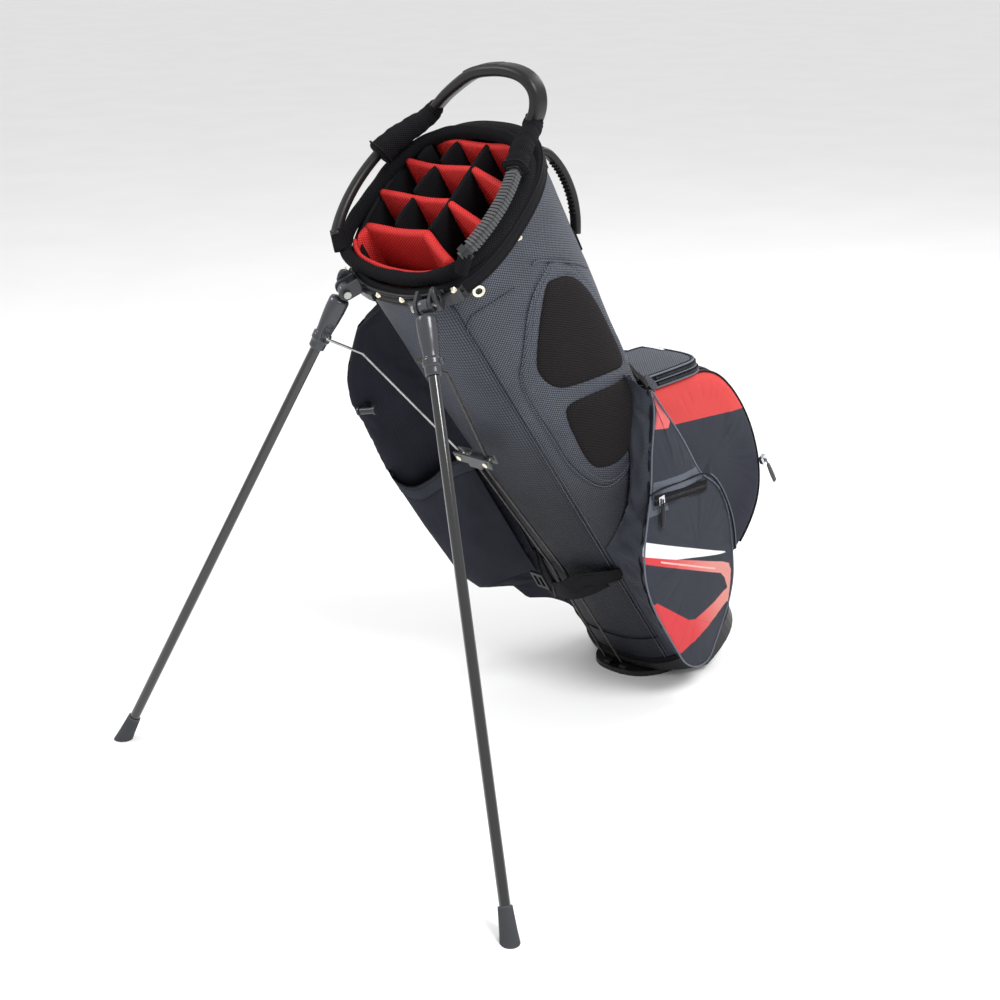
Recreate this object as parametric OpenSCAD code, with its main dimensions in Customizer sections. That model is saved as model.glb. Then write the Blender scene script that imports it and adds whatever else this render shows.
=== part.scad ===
// Golf stand bag, standing on its two deployed legs and its hinged foot plate.
// Ground is z = 0, the legs reach towards -Y and the origin is under the middle of the foot plate.
// Most sub-parts are drawn in the bag's own upright frame: front is -Y, the tube's axis is +Z.

/* [Stance] */
// Lean of the bag towards its legs, from upright
lean = 31.5; // [30:0.5:33]
// Height of the bag's base centre above the ground
base_height = 31; // [29:0.5:34]
// Distance of the bag's base centre behind the middle of the foot plate
base_back = 93; // [92:0.5:94]
// Swing of each leg from folded to deployed
leg_swing = 52.5; // [50:0.5:54]
// Outward turn of each leg hinge
leg_yaw = 31; // [28:1:34]

/* [Tube] */
// Half width of the tube at the base
tube_rx0 = 113; // [108:1:118]
// Half depth of the tube at the base
tube_ry0 = 94; // [90:1:98]
// Half width of the tube at the rim
tube_rx1 = 128; // [124:1:132]
// Half depth of the tube at the rim
tube_ry1 = 134; // [130:1:138]
// Height at which the rim sizes hold
tube_top = 880; // [870:5:890]
// Wall of the foam-backed fabric panels
panel_wall = 3; // [2:0.5:4]
// Slant of the rim, higher at the spine
rim_slant = 12; // [10:0.5:14]
// Squareness of the oval outline, where 2 is an ellipse
oval_power = 2.5; // [2.2:0.1:2.8]

/* [Rim] */
// Half width of the padded roll around the mouth
roll_rx = 136; // [132:1:140]
// Half depth of the padded roll around the mouth
roll_ry = 133; // [130:1:137]
// Thickness of the padded roll, across the rim
roll_wide = 16; // [14:1:18]
// Height of the padded roll
roll_high = 22; // [18:1:26]
// Depth of the moulded collar below the rim
collar_deep = 96; // [80:2:110]
// Wall of the moulded collar
collar_wall = 4; // [3:0.5:5]

/* [Dividers] */
// Thickness of the padded cross dividers
cross_thick = 8; // [6:1:10]
// Thickness of the plain dividers
plain_thick = 5; // [4:1:7]
// Depth of all dividers below the rim
divider_deep = 92; // [80:2:100]
// Place of the long divider across the mouth
long_x = 15; // [10:1:20]

/* [Stand] */
// Outer radius of the leg tubes
leg_r = 7; // [6:0.5:8]
// Radius of the leg hinge pins
hinge_pin_r = 3; // [2.5:0.5:3.5]
// Distance of the wire slot below the leg hinge
wire_drop = 65; // [60:1:70]
// Radius of the linkage wires and rods
wire_r = 1.8; // [1.5:0.1:2.2]

/* [Base] */
// Height of the moulded base cup
cup_high = 46; // [40:2:52]
// Thickness of the foot plate
plate_thick = 8; // [6:1:10]
// Radius of the foot plate's hinge pin
plate_pin_r = 3; // [2.5:0.5:3.5]

/* [Hidden] */
$fn = 32;
gap = 0.4;
fit = 0.05;
oval_steps = 48;
hinge_point = [75, -147, 846];
clip_point = [25, -148, 551];
rim_height = 880;
plate_axis = [50, 12.5];
charcoal = "#2b2d33";
slate = "#4a4e58";
black = "#17181a";
coral = "#e2615a";
red = "#d42a2a";
brass = "#d8cfa8";
steel = "#b9bcc0";
rubber = "#6b6e72";

// ---- outlines and frames ----

function tube_rx(z) = tube_rx0 + (tube_rx1 - tube_rx0) * z / tube_top;
function tube_ry(z) = tube_ry0 + (tube_ry1 - tube_ry0) * z / tube_top;
function signed_power(v, e) = sign(v) * pow(abs(v), e);
function oval(rx, ry) = [for (i = [0:oval_steps - 1]) let (a = 360 * i / oval_steps)
    [rx * signed_power(cos(a), 2 / oval_power), ry * signed_power(sin(a), 2 / oval_power)]];
function unit(v) = v / norm(v);

// Upright bag frame to the ground frame
module bag_frame() {
    translate([0, base_back, base_height]) rotate([lean, 0, 0]) children();
}

// Ground frame seen from inside the bag frame
module bag_frame_inverse() {
    rotate([-lean, 0, 0]) translate([0, -base_back, -base_height]) children();
}

// Slanted plane of the rim, inside the bag frame
module rim_frame() {
    translate([0, 0, rim_height]) rotate([rim_slant, 0, 0]) children();
}

// Solid of the tapering tube, grown outwards by grow
module tube(z0, z1, grow) {
    rx = tube_rx(z0) + grow;
    ry = tube_ry(z0) + grow;
    translate([0, 0, z0])
        linear_extrude(z1 - z0, scale = [(tube_rx(z1) + grow) / rx, (tube_ry(z1) + grow) / ry])
            polygon(oval(rx, ry));
}

// Straight oval ring
module oval_ring(z0, z1, rx, ry, wall) {
    translate([0, 0, z0]) linear_extrude(z1 - z0) difference() {
        polygon(oval(rx, ry));
        polygon(oval(rx - wall, ry - wall));
    }
}

// Everything above the rim plane, less drop below it
module above_rim(drop) {
    rim_frame() translate([-250, -250, -drop]) cube([500, 500, 400]);
}

// Everything in front of, or behind, a plane
module slab(x0, x1, y0, y1, z0, z1) {
    translate([x0, y0, z0]) cube([x1 - x0, y1 - y0, z1 - z0]);
}

// Round bar between two points
module bar(a, b, r) {
    d = b - a;
    long = norm(d);
    turn = atan2(d.y, d.x);
    tip = acos(d.z / long);
    translate(a) rotate([0, tip, turn]) cylinder(h = long, r = r);
}

// Bent wire through a list of points, rounded at the bends
module bent_wire(points, r) {
    for (i = [0:len(points) - 2]) bar(points[i], points[i + 1], r);
    for (i = [1:len(points) - 2]) translate(points[i]) sphere(r = r * 1.08);
}

// ---- tube panels, base and stays ----

seam_front = 78;
seam_back = 70;
seam_gap = 0.3;
panel_z0 = cup_high + gap;

module shell() {
    difference() {
        tube(panel_z0, 930, 0);
        tube(panel_z0 - 1, 931, -panel_wall);
        above_rim(roll_high / 2 + gap);
    }
}

module front_panel() {
    color(slate) bag_frame() intersection() {
        shell();
        slab(-seam_front, seam_front, -200, -20, 0, 950);
    }
}

module side_panel(side) {
    bag_frame() mirror([side < 0 ? 1 : 0, 0, 0]) difference() {
        intersection() {
            shell();
            slab(30, 200, -200, 200, 0, 950);
        }
        slab(0, seam_front + seam_gap, -200, -20, 0, 950);
        slab(0, seam_back + seam_gap, 20, 200, 0, 950);
    }
}

module side_panel_left() {
    color(charcoal) side_panel(-1);
}

module side_panel_right() {
    color(slate) side_panel(1);
}

module spine_panel() {
    color(charcoal) bag_frame() intersection() {
        shell();
        slab(-seam_back, seam_back, 20, 200, 0, 950);
    }
}

cup_rx = tube_rx0 + 1;
cup_ry = tube_ry0 + 3;
cup_shift = -5;
cup_floor = 24;
cup_wall = 7;
plate_clear = plate_thick + 3;
cup_sole = 4;
ear_x = 44;
ear_wide = 12;
ear_r = 7;

// Axis of the foot plate's hinge, drawn along X in the ground frame
module plate_axis_frame() {
    translate([0, plate_axis.x, plate_axis.y]) rotate([0, 90, 0]) children();
}

// Everything in the ground frame below a level, as far back as the foot plate's hinge
module below_level(level) {
    slab(-200, 200, -200, plate_axis.x + 40, -50, level);
}

module base_cup() {
    color(black) difference() {
        union() {
            difference() {
                bag_frame() difference() {
                    translate([0, cup_shift, 0]) linear_extrude(cup_high) polygon(oval(cup_rx, cup_ry));
                    difference() {
                        translate([0, cup_shift, cup_floor]) linear_extrude(cup_high)
                            polygon(oval(cup_rx - cup_wall, cup_ry - cup_wall));
                        bag_frame_inverse() below_level(plate_clear + cup_sole);
                    }
                }
                below_level(plate_clear);
                plate_axis_frame() translate([0, 0, -ear_x - ear_wide])
                    cylinder(h = 2 * (ear_x + ear_wide), r = ear_r + 1.5);
            }
            for (s = [-1, 1]) translate([s * ear_x, 0, 0]) plate_axis_frame()
                translate([0, 0, -ear_wide / 2]) cylinder(h = ear_wide, r = ear_r);
            for (s = [-1, 1]) translate([s * ear_x - ear_wide / 2, plate_axis.x - 3, plate_axis.y])
                cube([ear_wide, 12, 16]);
        }
        plate_axis_frame() translate([0, 0, -80]) cylinder(h = 160, r = plate_pin_r + 0.02);
    }
}

module base_pad() {
    color(charcoal) difference() {
        bag_frame() translate([0, cup_shift, cup_floor + gap]) linear_extrude(5)
            polygon(oval(cup_rx - cup_wall - 1, cup_ry - cup_wall - 1));
        below_level(plate_clear + cup_sole + gap);
    }
}

module foot_plate_pin() {
    long = 2 * ear_x + ear_wide + 4;
    color(steel) plate_axis_frame() translate([0, 0, -long / 2]) cylinder(h = long, r = plate_pin_r);
}

// Three stiff rods inside the tube, from the base to the collar
module stays() {
    foot = [[-88, 26], [88, 26], [0, 80]];
    head = [[-99, 30], [99, 30], [0, 106]];
    color(steel) bag_frame() for (i = [0:2])
        bar([foot[i].x, foot[i].y, 32], [head[i].x, head[i].y, 780], 4);
}

// ---- rim, collar and dividers ----

collar_rx = tube_rx(rim_height - collar_deep) - panel_wall - gap;
collar_ry = tube_ry(rim_height - collar_deep) - panel_wall - gap;

module collar() {
    color(black) bag_frame() difference() {
        oval_ring(rim_height - collar_deep, 930, collar_rx, collar_ry, collar_wall);
        above_rim(roll_high / 2 + gap);
    }
}

// The roll's cross-section: rounded top, straight sides
module rim_padding() {
    r = roll_wide / 2;
    low = [-roll_high / 2, roll_high / 2 - r];
    color(black) bag_frame() rim_frame() union() {
        oval_ring(low[0], low[1], roll_rx, roll_ry, roll_wide);
        oval_ring(low[1], low[1] + r * 0.55, roll_rx - 2, roll_ry - 2, roll_wide - 4);
        oval_ring(low[1] + r * 0.55, roll_high / 2, roll_rx - 5, roll_ry - 5, roll_wide - 10);
    }
}

mouth_rx = min(collar_rx - collar_wall, roll_rx - roll_wide) - gap;
mouth_ry = min(collar_ry - collar_wall,
    (roll_ry - roll_wide) * cos(rim_slant) - roll_high / 2 * sin(rim_slant)) - gap;

// Space inside the collar down to the dividers' lower edge, a little below the rim's top
module mouth_space() {
    difference() {
        translate([0, 0, rim_height - divider_deep]) linear_extrude(160) polygon(oval(mouth_rx, mouth_ry));
        above_rim(1);
    }
}

// Plan position on the rim becomes a plan position in the bag frame
function on_rim(v) = [v.x, v.y * cos(rim_slant)];

// Straight divider wall between two plan points on the rim
module wall(a, b, thick) {
    p = on_rim(a);
    q = on_rim(b);
    d = q - p;
    translate([p.x, p.y, 700]) rotate([0, 0, atan2(d.y, d.x)]) translate([0, -thick / 2, 0])
        cube([norm(d), thick, 260]);
}

row_rear = 108;
row_upper = 58;
row_lower = 5;
row_well = -48;
half_cross = cross_thick / 2;
half_plain = plain_thick / 2;

module front_well_walls() {
    wall([-140, row_well], [long_x - 12, row_well], cross_thick);
    wall([long_x - 14, row_well], [92, -112], cross_thick);
}

module well_liner() {
    color(red) bag_frame() intersection() {
        mouth_space();
        front_well_walls();
    }
}

// Straight red divider from the left wall to the long divider
module cross_divider(y, x1) {
    bag_frame() intersection() {
        mouth_space();
        wall([-140, y], [x1, y], cross_thick);
    }
}

module rear_divider() {
    color(red) cross_divider(row_rear, 60);
}

module upper_divider() {
    color(red) cross_divider(row_upper, long_x - half_plain - gap);
}

module lower_divider() {
    color(red) cross_divider(row_lower, long_x - half_plain - gap);
}

module long_divider() {
    color(black) bag_frame() intersection() {
        mouth_space();
        wall([long_x, row_well + half_cross + 3], [long_x, row_rear - half_cross - gap], plain_thick);
    }
}

module short_dividers() {
    rows = [[row_well, row_lower], [row_lower, row_upper], [row_upper, row_rear]];
    place = [-54, -50, -40];
    color(black) bag_frame() intersection() {
        mouth_space();
        for (i = [0:2])
            wall([place[i], rows[i][0] + half_cross + gap], [place[i], rows[i][1] - half_cross - gap],
                plain_thick);
    }
}

// Two slanting red dividers on the right-hand side
module side_well_liner() {
    start = long_x + half_plain + gap;
    color(red) bag_frame() intersection() {
        mouth_space();
        union() {
            wall([start - 12, 9], [150, -52], cross_thick);
            wall([start - 12, 66], [150, 14], cross_thick);
        }
        slab(start, 200, -200, 200, 0, 1000);
    }
}

// ---- handles ----

arch_back = 118;
arch_foot = 912;
arch_tilt = 25;
arch_thick = 13;
arch_deep = 24;
// How far the arch's legs run on below the foot height, to be cut by the roll
arch_reach = 6;
// Centres and radii of the arch's rounded outline: left foot, top left, top right, right foot
arch_rounds = [[-70, -4, 27], [8, 42, 36], [58, 44, 37], [64, -4, 27]];

module arch_outline(inset) {
    hull() for (c = arch_rounds) translate([c.x, c.y]) circle(r = c.z - inset, $fn = 48);
}

// Moulded arch over the spine side, tipped back and fuller on the right
module top_handle() {
    color(black) bag_frame() intersection() {
        translate([0, arch_back, arch_foot]) rotate([-arch_tilt, 0, 0])
            translate([0, arch_deep / 2, 0]) rotate([90, 0, 0]) linear_extrude(arch_deep) difference() {
                arch_outline(0);
                arch_outline(arch_thick);
                translate([-200, -200]) square([400, 200 - arch_reach]);
            }
        above_rim(-roll_high / 2 - gap);
    }
}

// Bowed side handle, raised above the roll at the side of the mouth: an arc in the rim's plane
bow_centre = [-46, -14];
bow_radius = 179;
bow_r = 8;
bow_lift = 25;

module side_handle() {
    bag_frame() rim_frame() translate([bow_centre.x, bow_centre.y, bow_lift]) rotate([3, 0, -25])
        rotate_extrude(angle = 47) translate([bow_radius, 0]) circle(r = bow_r);
}

module right_handle() {
    color(rubber) side_handle();
}

module left_handle() {
    color(black) mirror([1, 0, 0]) side_handle();
}

// Fabric sleeve that ties the arch's foot and the side handle to the rim
module handle_sleeve() {
    bag_frame() rim_frame() intersection() {
        bar([126, 58, 26], [95, 104, 28], 14);
        translate([60, 59, roll_high / 2 + gap]) cube([120, 32, 60]);
    }
}

module handle_sleeve_right() {
    color(black) handle_sleeve();
}

module handle_sleeve_left() {
    color(black) mirror([1, 0, 0]) handle_sleeve();
}

back_handle_x = 62;
back_handle_path = [[0, 120, 858], [0, 143, 850], [0, 152, 816], [0, 150, 776], [0, 139, 746], [0, 118, 734]];

module back_handle() {
    path = [for (p = back_handle_path) p + [back_handle_x, 0, 0]];
    color(black) bag_frame() difference() {
        bent_wire(path, 7);
        tube(600, 930, 5);
    }
}

// Sewn anchor plates under the two ends of the back handle
module back_handle_anchors() {
    color(charcoal) bag_frame() intersection() {
        difference() {
            tube(700, 890, 4.4);
            tube(699, 891, gap);
        }
        for (z = [712, 846])
            slab(back_handle_x - 14, back_handle_x + 14, 60, 200, z, z + 30);
    }
}

// ---- pads and pockets ----

// Slab that follows the tube, cut to an outline drawn in the side view
module side_pad(outline) {
    bag_frame() intersection() {
        difference() {
            tube(400, 800, 8);
            tube(399, 801, gap);
        }
        translate([200, 0, 0]) rotate([0, -90, 0]) linear_extrude(150)
            polygon([for (p = outline) [p.y, p.x]]);
    }
}

module hip_pad_upper() {
    color(black) side_pad([[-4, 766], [34, 746], [62, 700], [74, 600], [70, 552], [40, 566], [-10, 600],
        [-58, 622], [-68, 650], [-66, 684], [-44, 722]]);
}

module hip_pad_lower() {
    color(black) side_pad([[-60, 586], [-48, 592], [0, 568], [68, 534], [74, 520], [66, 480], [34, 456],
        [-14, 446], [-48, 460], [-62, 480], [-64, 524]]);
}

// Side profile of a pocket, extruded across the bag and cut back to the tube
module pocket_block(profile, x0, x1) {
    difference() {
        translate([x1, 0, 0]) rotate([0, -90, 0]) linear_extrude(x1 - x0)
            polygon([for (p = profile) [p.y, p.x]]);
        tube(20, 900, gap);
    }
}

// Its top is level when the bag leans on its legs
ball_profile = [[60, 486], [109, 458], [150, 434], [190, 411], [214, 396], [236, 366], [250, 290], [250, 208],
    [232, 140], [206, 102], [166, 80], [60, 74]];
ball_half = 96;
// The small pocket sits on the ball pocket's level top
small_profile = [[60, 488], [109, 460], [150, 436], [190, 413], [205, 404], [213, 409], [213, 421], [206, 428],
    [109, 484], [60, 512]];
small_x0 = -10;

module ball_pocket() {
    color(charcoal) bag_frame() pocket_block(ball_profile, -ball_half, ball_half);
}

module valuables_pocket() {
    color(slate) bag_frame() difference() {
        pocket_block(small_profile, small_x0, ball_half + 2);
        tube(20, 900, 9);
    }
}

right_profile = [[84, 492], [74, 466], [36, 442], [-2, 424], [-44, 390], [-92, 330], [-110, 262], [-118, 186],
    [-106, 112], [-84, 76], [-56, 64], [18, 108], [58, 160], [82, 222], [92, 286], [90, 400]];

module side_pocket_right() {
    color(charcoal) bag_frame() pocket_block(right_profile, 96 + gap, 158);
}

// Big loose garment pocket on the left, fullest at its front edge
left_plan = [[-60, -60], [-92, -84], [-140, -140], [-166, -164], [-184, -160], [-192, -130], [-184, -60],
    [-160, 20], [-130, 60], [-97, 74], [-97, 0]];
left_profile = [[90, 690], [20, 740], [-66, 746], [-104, 712], [-138, 664], [-166, 606], [-168, 300],
    [-160, 236], [-136, 194], [-90, 166], [0, 124], [90, 112]];

module side_pocket_left() {
    color(charcoal) bag_frame() difference() {
        intersection() {
            linear_extrude(800) polygon(left_plan);
            rotate([0, -90, 0]) linear_extrude(200) polygon([for (p = left_profile) [p.y, p.x]]);
        }
        tube(20, 900, gap);
        pouch_room();
    }
}

// Frame of the left pocket's front face: X along the face, Y into the pocket
module pouch_frame() {
    translate([-129, -120, 0]) rotate([0, 0, 47]) children();
}

pouch_half = 44;
pouch_deep = 24;
pouch_z0 = 250;
pouch_z1 = 492;

// Room for the pouch, running out to nothing above its mouth
module pouch_room() {
    pouch_frame() translate([-pouch_half - gap, 0, 0]) rotate([90, 0, 90])
        linear_extrude(2 * (pouch_half + gap))
            polygon([[-40, pouch_z0 - gap], [pouch_deep + gap, pouch_z0 - gap], [pouch_deep + gap, pouch_z1],
                [0, pouch_z1 + 130], [-40, pouch_z1 + 130]]);
}

// Open-topped pouch let into the front face of the left pocket
module open_pouch() {
    wall = 3;
    color(charcoal) bag_frame() pouch_frame() translate([-pouch_half, 0, pouch_z0]) difference() {
        cube([2 * pouch_half, pouch_deep, pouch_z1 - pouch_z0]);
        translate([wall, wall, wall]) cube([2 * (pouch_half - wall), pouch_deep - 2 * wall + 1, 400]);
    }
}

// ---- leg brackets, pins and small hardware on the bag ----

yoke_z0 = 826;
yoke_z1 = 864;
yoke_wall = 4;
yoke_rx = tube_rx(850) + gap + yoke_wall;
yoke_ry = tube_ry(850) + gap + yoke_wall;
ring_step = 2;
ring_out = gap + yoke_wall + ring_step;
bracket_step = 6.6;
bracket_out = gap + yoke_wall + bracket_step;
rivet_r = 4.5;

module below_rim_only() {
    difference() {
        children();
        above_rim(roll_high / 2 + gap);
    }
}

module stand_yoke() {
    color(black) bag_frame() below_rim_only() intersection() {
        union() {
            oval_ring(yoke_z0, yoke_z1, yoke_rx, yoke_ry, yoke_wall);
            for (z = [832, 842])
                oval_ring(z, z + 5, yoke_rx + ring_step, yoke_ry + ring_step, ring_step + 3);
        }
        slab(-102, 102, -200, -60, 0, 900);
    }
}

ear_out = 10;
ear_half = 7.5;

// Frame of a leg hinge: X along the hinge, Y towards the bag, Z up the tube
module hinge_frame() {
    bag_frame() translate(hinge_point) rotate([0, 0, leg_yaw]) children();
}

module leg_bracket() {
    difference() {
        union() {
            bag_frame() below_rim_only() intersection() {
                oval_ring(yoke_z0 + 2, yoke_z1, yoke_rx + bracket_step, yoke_ry + bracket_step, yoke_wall);
                slab(34, 101, -200, -50, 0, 900);
            }
            hinge_frame() for (s = [-1, 1]) translate([s * (ear_half + 2.25) - 2, 0, 0]) {
                rotate([0, 90, 0]) cylinder(h = 4, r = ear_out);
                translate([0, 0, -ear_out]) cube([4, 21, 2 * ear_out]);
            }
        }
        hinge_frame() rotate([0, 90, 0]) translate([0, 0, -20]) cylinder(h = 40, r = hinge_pin_r + 0.02);
        bag_frame() translate([0, 0, 700]) linear_extrude(200)
            polygon(oval(yoke_rx + ring_step + gap, yoke_ry + ring_step + gap));
    }
}

module leg_bracket_right() {
    color(charcoal) leg_bracket();
}

module leg_bracket_left() {
    color(charcoal) mirror([1, 0, 0]) leg_bracket();
}

module leg_pin() {
    hinge_frame() rotate([0, 90, 0]) translate([0, 0, -15]) {
        cylinder(h = 30, r = hinge_pin_r);
        translate([0, 0, -2]) cylinder(h = 3, r = hinge_pin_r + 2);
        translate([0, 0, 29]) cylinder(h = 3, r = hinge_pin_r + 2);
    }
}

module leg_pin_right() {
    color(steel) leg_pin();
}

module leg_pin_left() {
    color(steel) mirror([1, 0, 0]) leg_pin();
}

// Where a ray at a plan angle meets the oval, measured from straight ahead
function oval_hit(a, rx, ry) = let (k = pow(abs(sin(a) / rx), oval_power) + pow(abs(cos(a) / ry), oval_power))
    pow(k, -1 / oval_power);

// Plan angle of the oval's outward normal at a point on it
function oval_normal(x, y, rx, ry) = atan2(signed_power(x / rx, oval_power - 1) / rx,
    -signed_power(y / ry, oval_power - 1) / ry);

// Domed rivet standing on the tube, at a plan angle and height
module rivet(a, z, out, r) {
    rx = tube_rx(z) + out;
    ry = tube_ry(z) + out;
    reach = oval_hit(a, rx, ry);
    at = [reach * sin(a), -reach * cos(a), z];
    bag_frame() translate(at) rotate([90, 0, oval_normal(at.x, at.y, rx, ry)])
        translate([0, 0, -gap]) cylinder(h = 2.4, r1 = r, r2 = r * 0.62);
}

module rivets() {
    color(brass) {
        for (s = [-1, 1]) {
            rivet(s * 41, 848, bracket_out + 0.6, rivet_r);
            rivet(s * 9, 839, ring_out + 1.2, rivet_r);
        }
        for (spot = [[50, 843], [86, 847], [122, 874]]) rivet(spot[0], spot[1], 2 * gap, rivet_r);
    }
}

module grommet() {
    a = 51;
    z = 825;
    reach = oval_hit(a, tube_rx(z) + 1.4, tube_ry(z) + 1.4);
    at = [reach * sin(a), -reach * cos(a), z];
    color(brass) bag_frame() translate(at) rotate([90, 0, oval_normal(at.x, at.y, tube_rx(z), tube_ry(z))])
        rotate_extrude() translate([4.6, 0]) square([3.6, 2.2]);
}

// ---- straps, toggles and zips ----

strap_z = 236;
strap_out = 22.5;

module leg_strap() {
    rx = tube_rx(strap_z);
    ry = tube_ry(strap_z);
    color(black) bag_frame() intersection() {
        union() {
            oval_ring(strap_z, strap_z + 26, rx + strap_out, ry + strap_out, 2.4);
            intersection() {
                oval_ring(strap_z, strap_z + 26, rx + strap_out, ry + strap_out, strap_out - 2);
                union() {
                    slab(60, 70, -200, 0, 0, 500);
                    slab(-70, -60, -200, 0, 0, 500);
                }
            }
        }
        slab(-70, 70, -200, 0, 0, 500);
    }
}

module strap_buckle() {
    y = -tube_ry(strap_z) - strap_out + 4;
    color(black) bag_frame() translate([-58, y - 8, strap_z - 4]) difference() {
        cube([24, 4, 34]);
        translate([4, -1, 6]) cube([6, 6, 22]);
        translate([14, -1, 6]) cube([6, 6, 22]);
    }
}

toggle_point = [-150, -172, 628];

module toggle() {
    color(rubber) bag_frame() translate(toggle_point) rotate([0, 90, 20]) {
        cylinder(h = 26, r = 5, center = true);
        for (s = [-1, 1]) translate([0, 0, s * 13]) cylinder(h = 3, r = 6.4, center = true);
    }
}

side_face = 158 + gap;
zip_high = 9;
zip_long = 122;
zip_start = [-38, 389];
zip_fall = -24.5;

// Frame of the right pocket's zip: Y along the zip towards the spine, X out of the face
module side_zip_frame() {
    bag_frame() translate([side_face, zip_start.x, zip_start.y]) rotate([zip_fall, 0, 0]) children();
}

// Straight zip along the top of the right pocket's face
module side_zipper() {
    color(black) side_zip_frame() translate([0, 0, -zip_high / 2]) cube([3, zip_long, zip_high]);
}

// Curved zip down the outer edge of the ball pocket
module ball_zipper() {
    color(black) bag_frame() translate([96 + gap, 0, 0]) rotate([0, 90, 0]) rotate([0, 0, 90])
        linear_extrude(3) intersection() {
            difference() {
                polygon([for (p = ball_profile) p]);
                translate([-6, 3]) scale(0.97) polygon([for (p = ball_profile) p]);
            }
            translate([150, 90]) square([140, 330]);
        }
}

slider_deep = 6;
slider_long = 12;

module slider() {
    translate([3 + gap, 0, -slider_long / 2]) cube([slider_deep, slider_long, slider_long]);
}

// Pull tab that hangs plumb from a slider
module pull_tab(long) {
    rotate([-lean, 0, 0]) {
        translate([0, -3.5, -long]) cube([3, 7, long]);
        translate([1.5, -3.5, 0]) rotate([-90, 0, 0]) cylinder(h = 7, r = 1.5);
    }
}

module side_slider() {
    color(steel) side_zip_frame() translate([0, 14, 0]) slider();
}

module side_pull() {
    color(black) side_zip_frame() translate([3 + 2 * gap + slider_deep, 20, 0])
        rotate([-zip_fall, 0, 0]) pull_tab(40);
}

ball_slider_point = [ball_half + gap, 234, 178];
ball_pull_tilt = 30;

module ball_slider() {
    color(steel) bag_frame() translate(ball_slider_point) slider();
}

module ball_pull() {
    color(rubber) bag_frame() translate(ball_slider_point + [3 + 2 * gap + slider_deep, 8, -2])
        rotate([ball_pull_tilt, 0, 0]) pull_tab(46);
}

// ---- legs ----

leg_down = [0, -sin(leg_swing), -cos(leg_swing)];
function yawed(v) = [v.x * cos(leg_yaw) - v.y * sin(leg_yaw), v.x * sin(leg_yaw) + v.y * cos(leg_yaw), v.z];
function leaned(v) = [v.x, v.y * cos(lean) - v.z * sin(lean), v.y * sin(lean) + v.z * cos(lean)];
hinge_ground = leaned(hinge_point) + [0, base_back, base_height];
leg_length = hinge_ground.z / -leaned(yawed(leg_down)).z;
knuckle_top = 14;
knuckle_end = 88;
tube_start = 84;
foot_high = 42;

// Frame of a deployed leg: the hinge at its origin, the leg along -Z, the hinge along X
module leg_frame() {
    hinge_frame() rotate([-leg_swing, 0, 0]) children();
}

module leg_knuckle() {
    slot_low = -wire_drop - 6;
    slot_high = -wire_drop + 14;
    leg_frame() difference() {
        union() {
            rotate([0, 90, 0]) cylinder(h = 2 * ear_half - 1, r = 9, center = true);
            translate([-ear_half + 0.5, -8, -20]) cube([2 * ear_half - 1, 16, 20]);
            translate([0, 0, -knuckle_end]) cylinder(h = knuckle_end - knuckle_top, r1 = 10.5, r2 = 13.5);
        }
        rotate([0, 90, 0]) cylinder(h = 40, r = hinge_pin_r + fit, center = true);
        translate([-20, -5, slot_low]) cube([30, 10, slot_high - slot_low]);
        translate([0, 0, -knuckle_end - 1]) cylinder(h = 5, r = leg_r + 0.02);
    }
}

module leg_knuckle_right() {
    color(rubber) leg_knuckle();
}

module leg_knuckle_left() {
    color(rubber) mirror([1, 0, 0]) leg_knuckle();
}

module leg_tube() {
    leg_frame() translate([0, 0, -leg_length + foot_high - 6]) difference() {
        cylinder(h = leg_length - foot_high + 6 - tube_start, r = leg_r);
        translate([0, 0, -1]) cylinder(h = leg_length, r = leg_r - 1.2);
    }
}

module leg_tube_right() {
    color(black) leg_tube();
}

module leg_tube_left() {
    color(black) mirror([1, 0, 0]) leg_tube();
}

// Rubber foot, flat where it stands on the ground
module leg_foot() {
    difference() {
        leg_frame() difference() {
            union() {
                translate([0, 0, -leg_length - 12]) cylinder(h = 24, r1 = 13.5, r2 = 11);
                translate([0, 0, -leg_length + 12]) cylinder(h = foot_high - 12, r1 = 11, r2 = 9);
            }
            translate([0, 0, -leg_length + foot_high - 6.4]) cylinder(h = 10, r = leg_r + 0.02);
        }
        slab(-900, 900, -1200, 300, -80, 0);
    }
}

module leg_foot_right() {
    color(rubber) leg_foot();
}

module leg_foot_left() {
    color(rubber) mirror([1, 0, 0]) leg_foot();
}

// ---- linkage ----

clip_half = 34;
plate_gap = 9;
clip_plate = 2.5;
// Right-hand rod: its top, below the clip point, its bend and its lower end
rod_top = [8, 0, -4.5];
rod_mid = [12, -120, 285];
rod_low = [16, -114, 57];

// Two strips with the wires' eyes between them
module rod_clip() {
    color(charcoal) bag_frame() translate([0, clip_point.y, clip_point.z]) difference() {
        union() {
            for (s = [-1, 1])
                translate([-clip_half, s * (plate_gap + clip_plate) / 2 - clip_plate / 2, -8])
                    cube([2 * clip_half, clip_plate, 16]);
            translate([-12, -plate_gap / 2 - clip_plate, -14]) cube([24, plate_gap + 2 * clip_plate, 14]);
        }
        for (s = [-1, 1]) translate([s * clip_point.x, 0, 0]) rotate([90, 0, 0])
            cylinder(h = 40, r = 2.02, center = true);
        for (s = [-1, 1]) bar([s * rod_top.x, 0, rod_top.z], [s * rod_mid.x, rod_mid.y - clip_point.y,
            rod_mid.z - clip_point.z], wire_r + 0.02);
    }
}

module clip_rivets() {
    color(brass) bag_frame() translate([0, clip_point.y, clip_point.z])
        for (s = [-1, 1]) translate([s * clip_point.x, 0, 0]) rotate([90, 0, 0]) {
            cylinder(h = plate_gap + 2 * clip_plate + 1, r = 2, center = true);
            for (t = [-1, 1]) translate([0, 0, t * (plate_gap / 2 + clip_plate + 1)])
                cylinder(h = 1.6, r = 4.2, center = true);
        }
}

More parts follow.
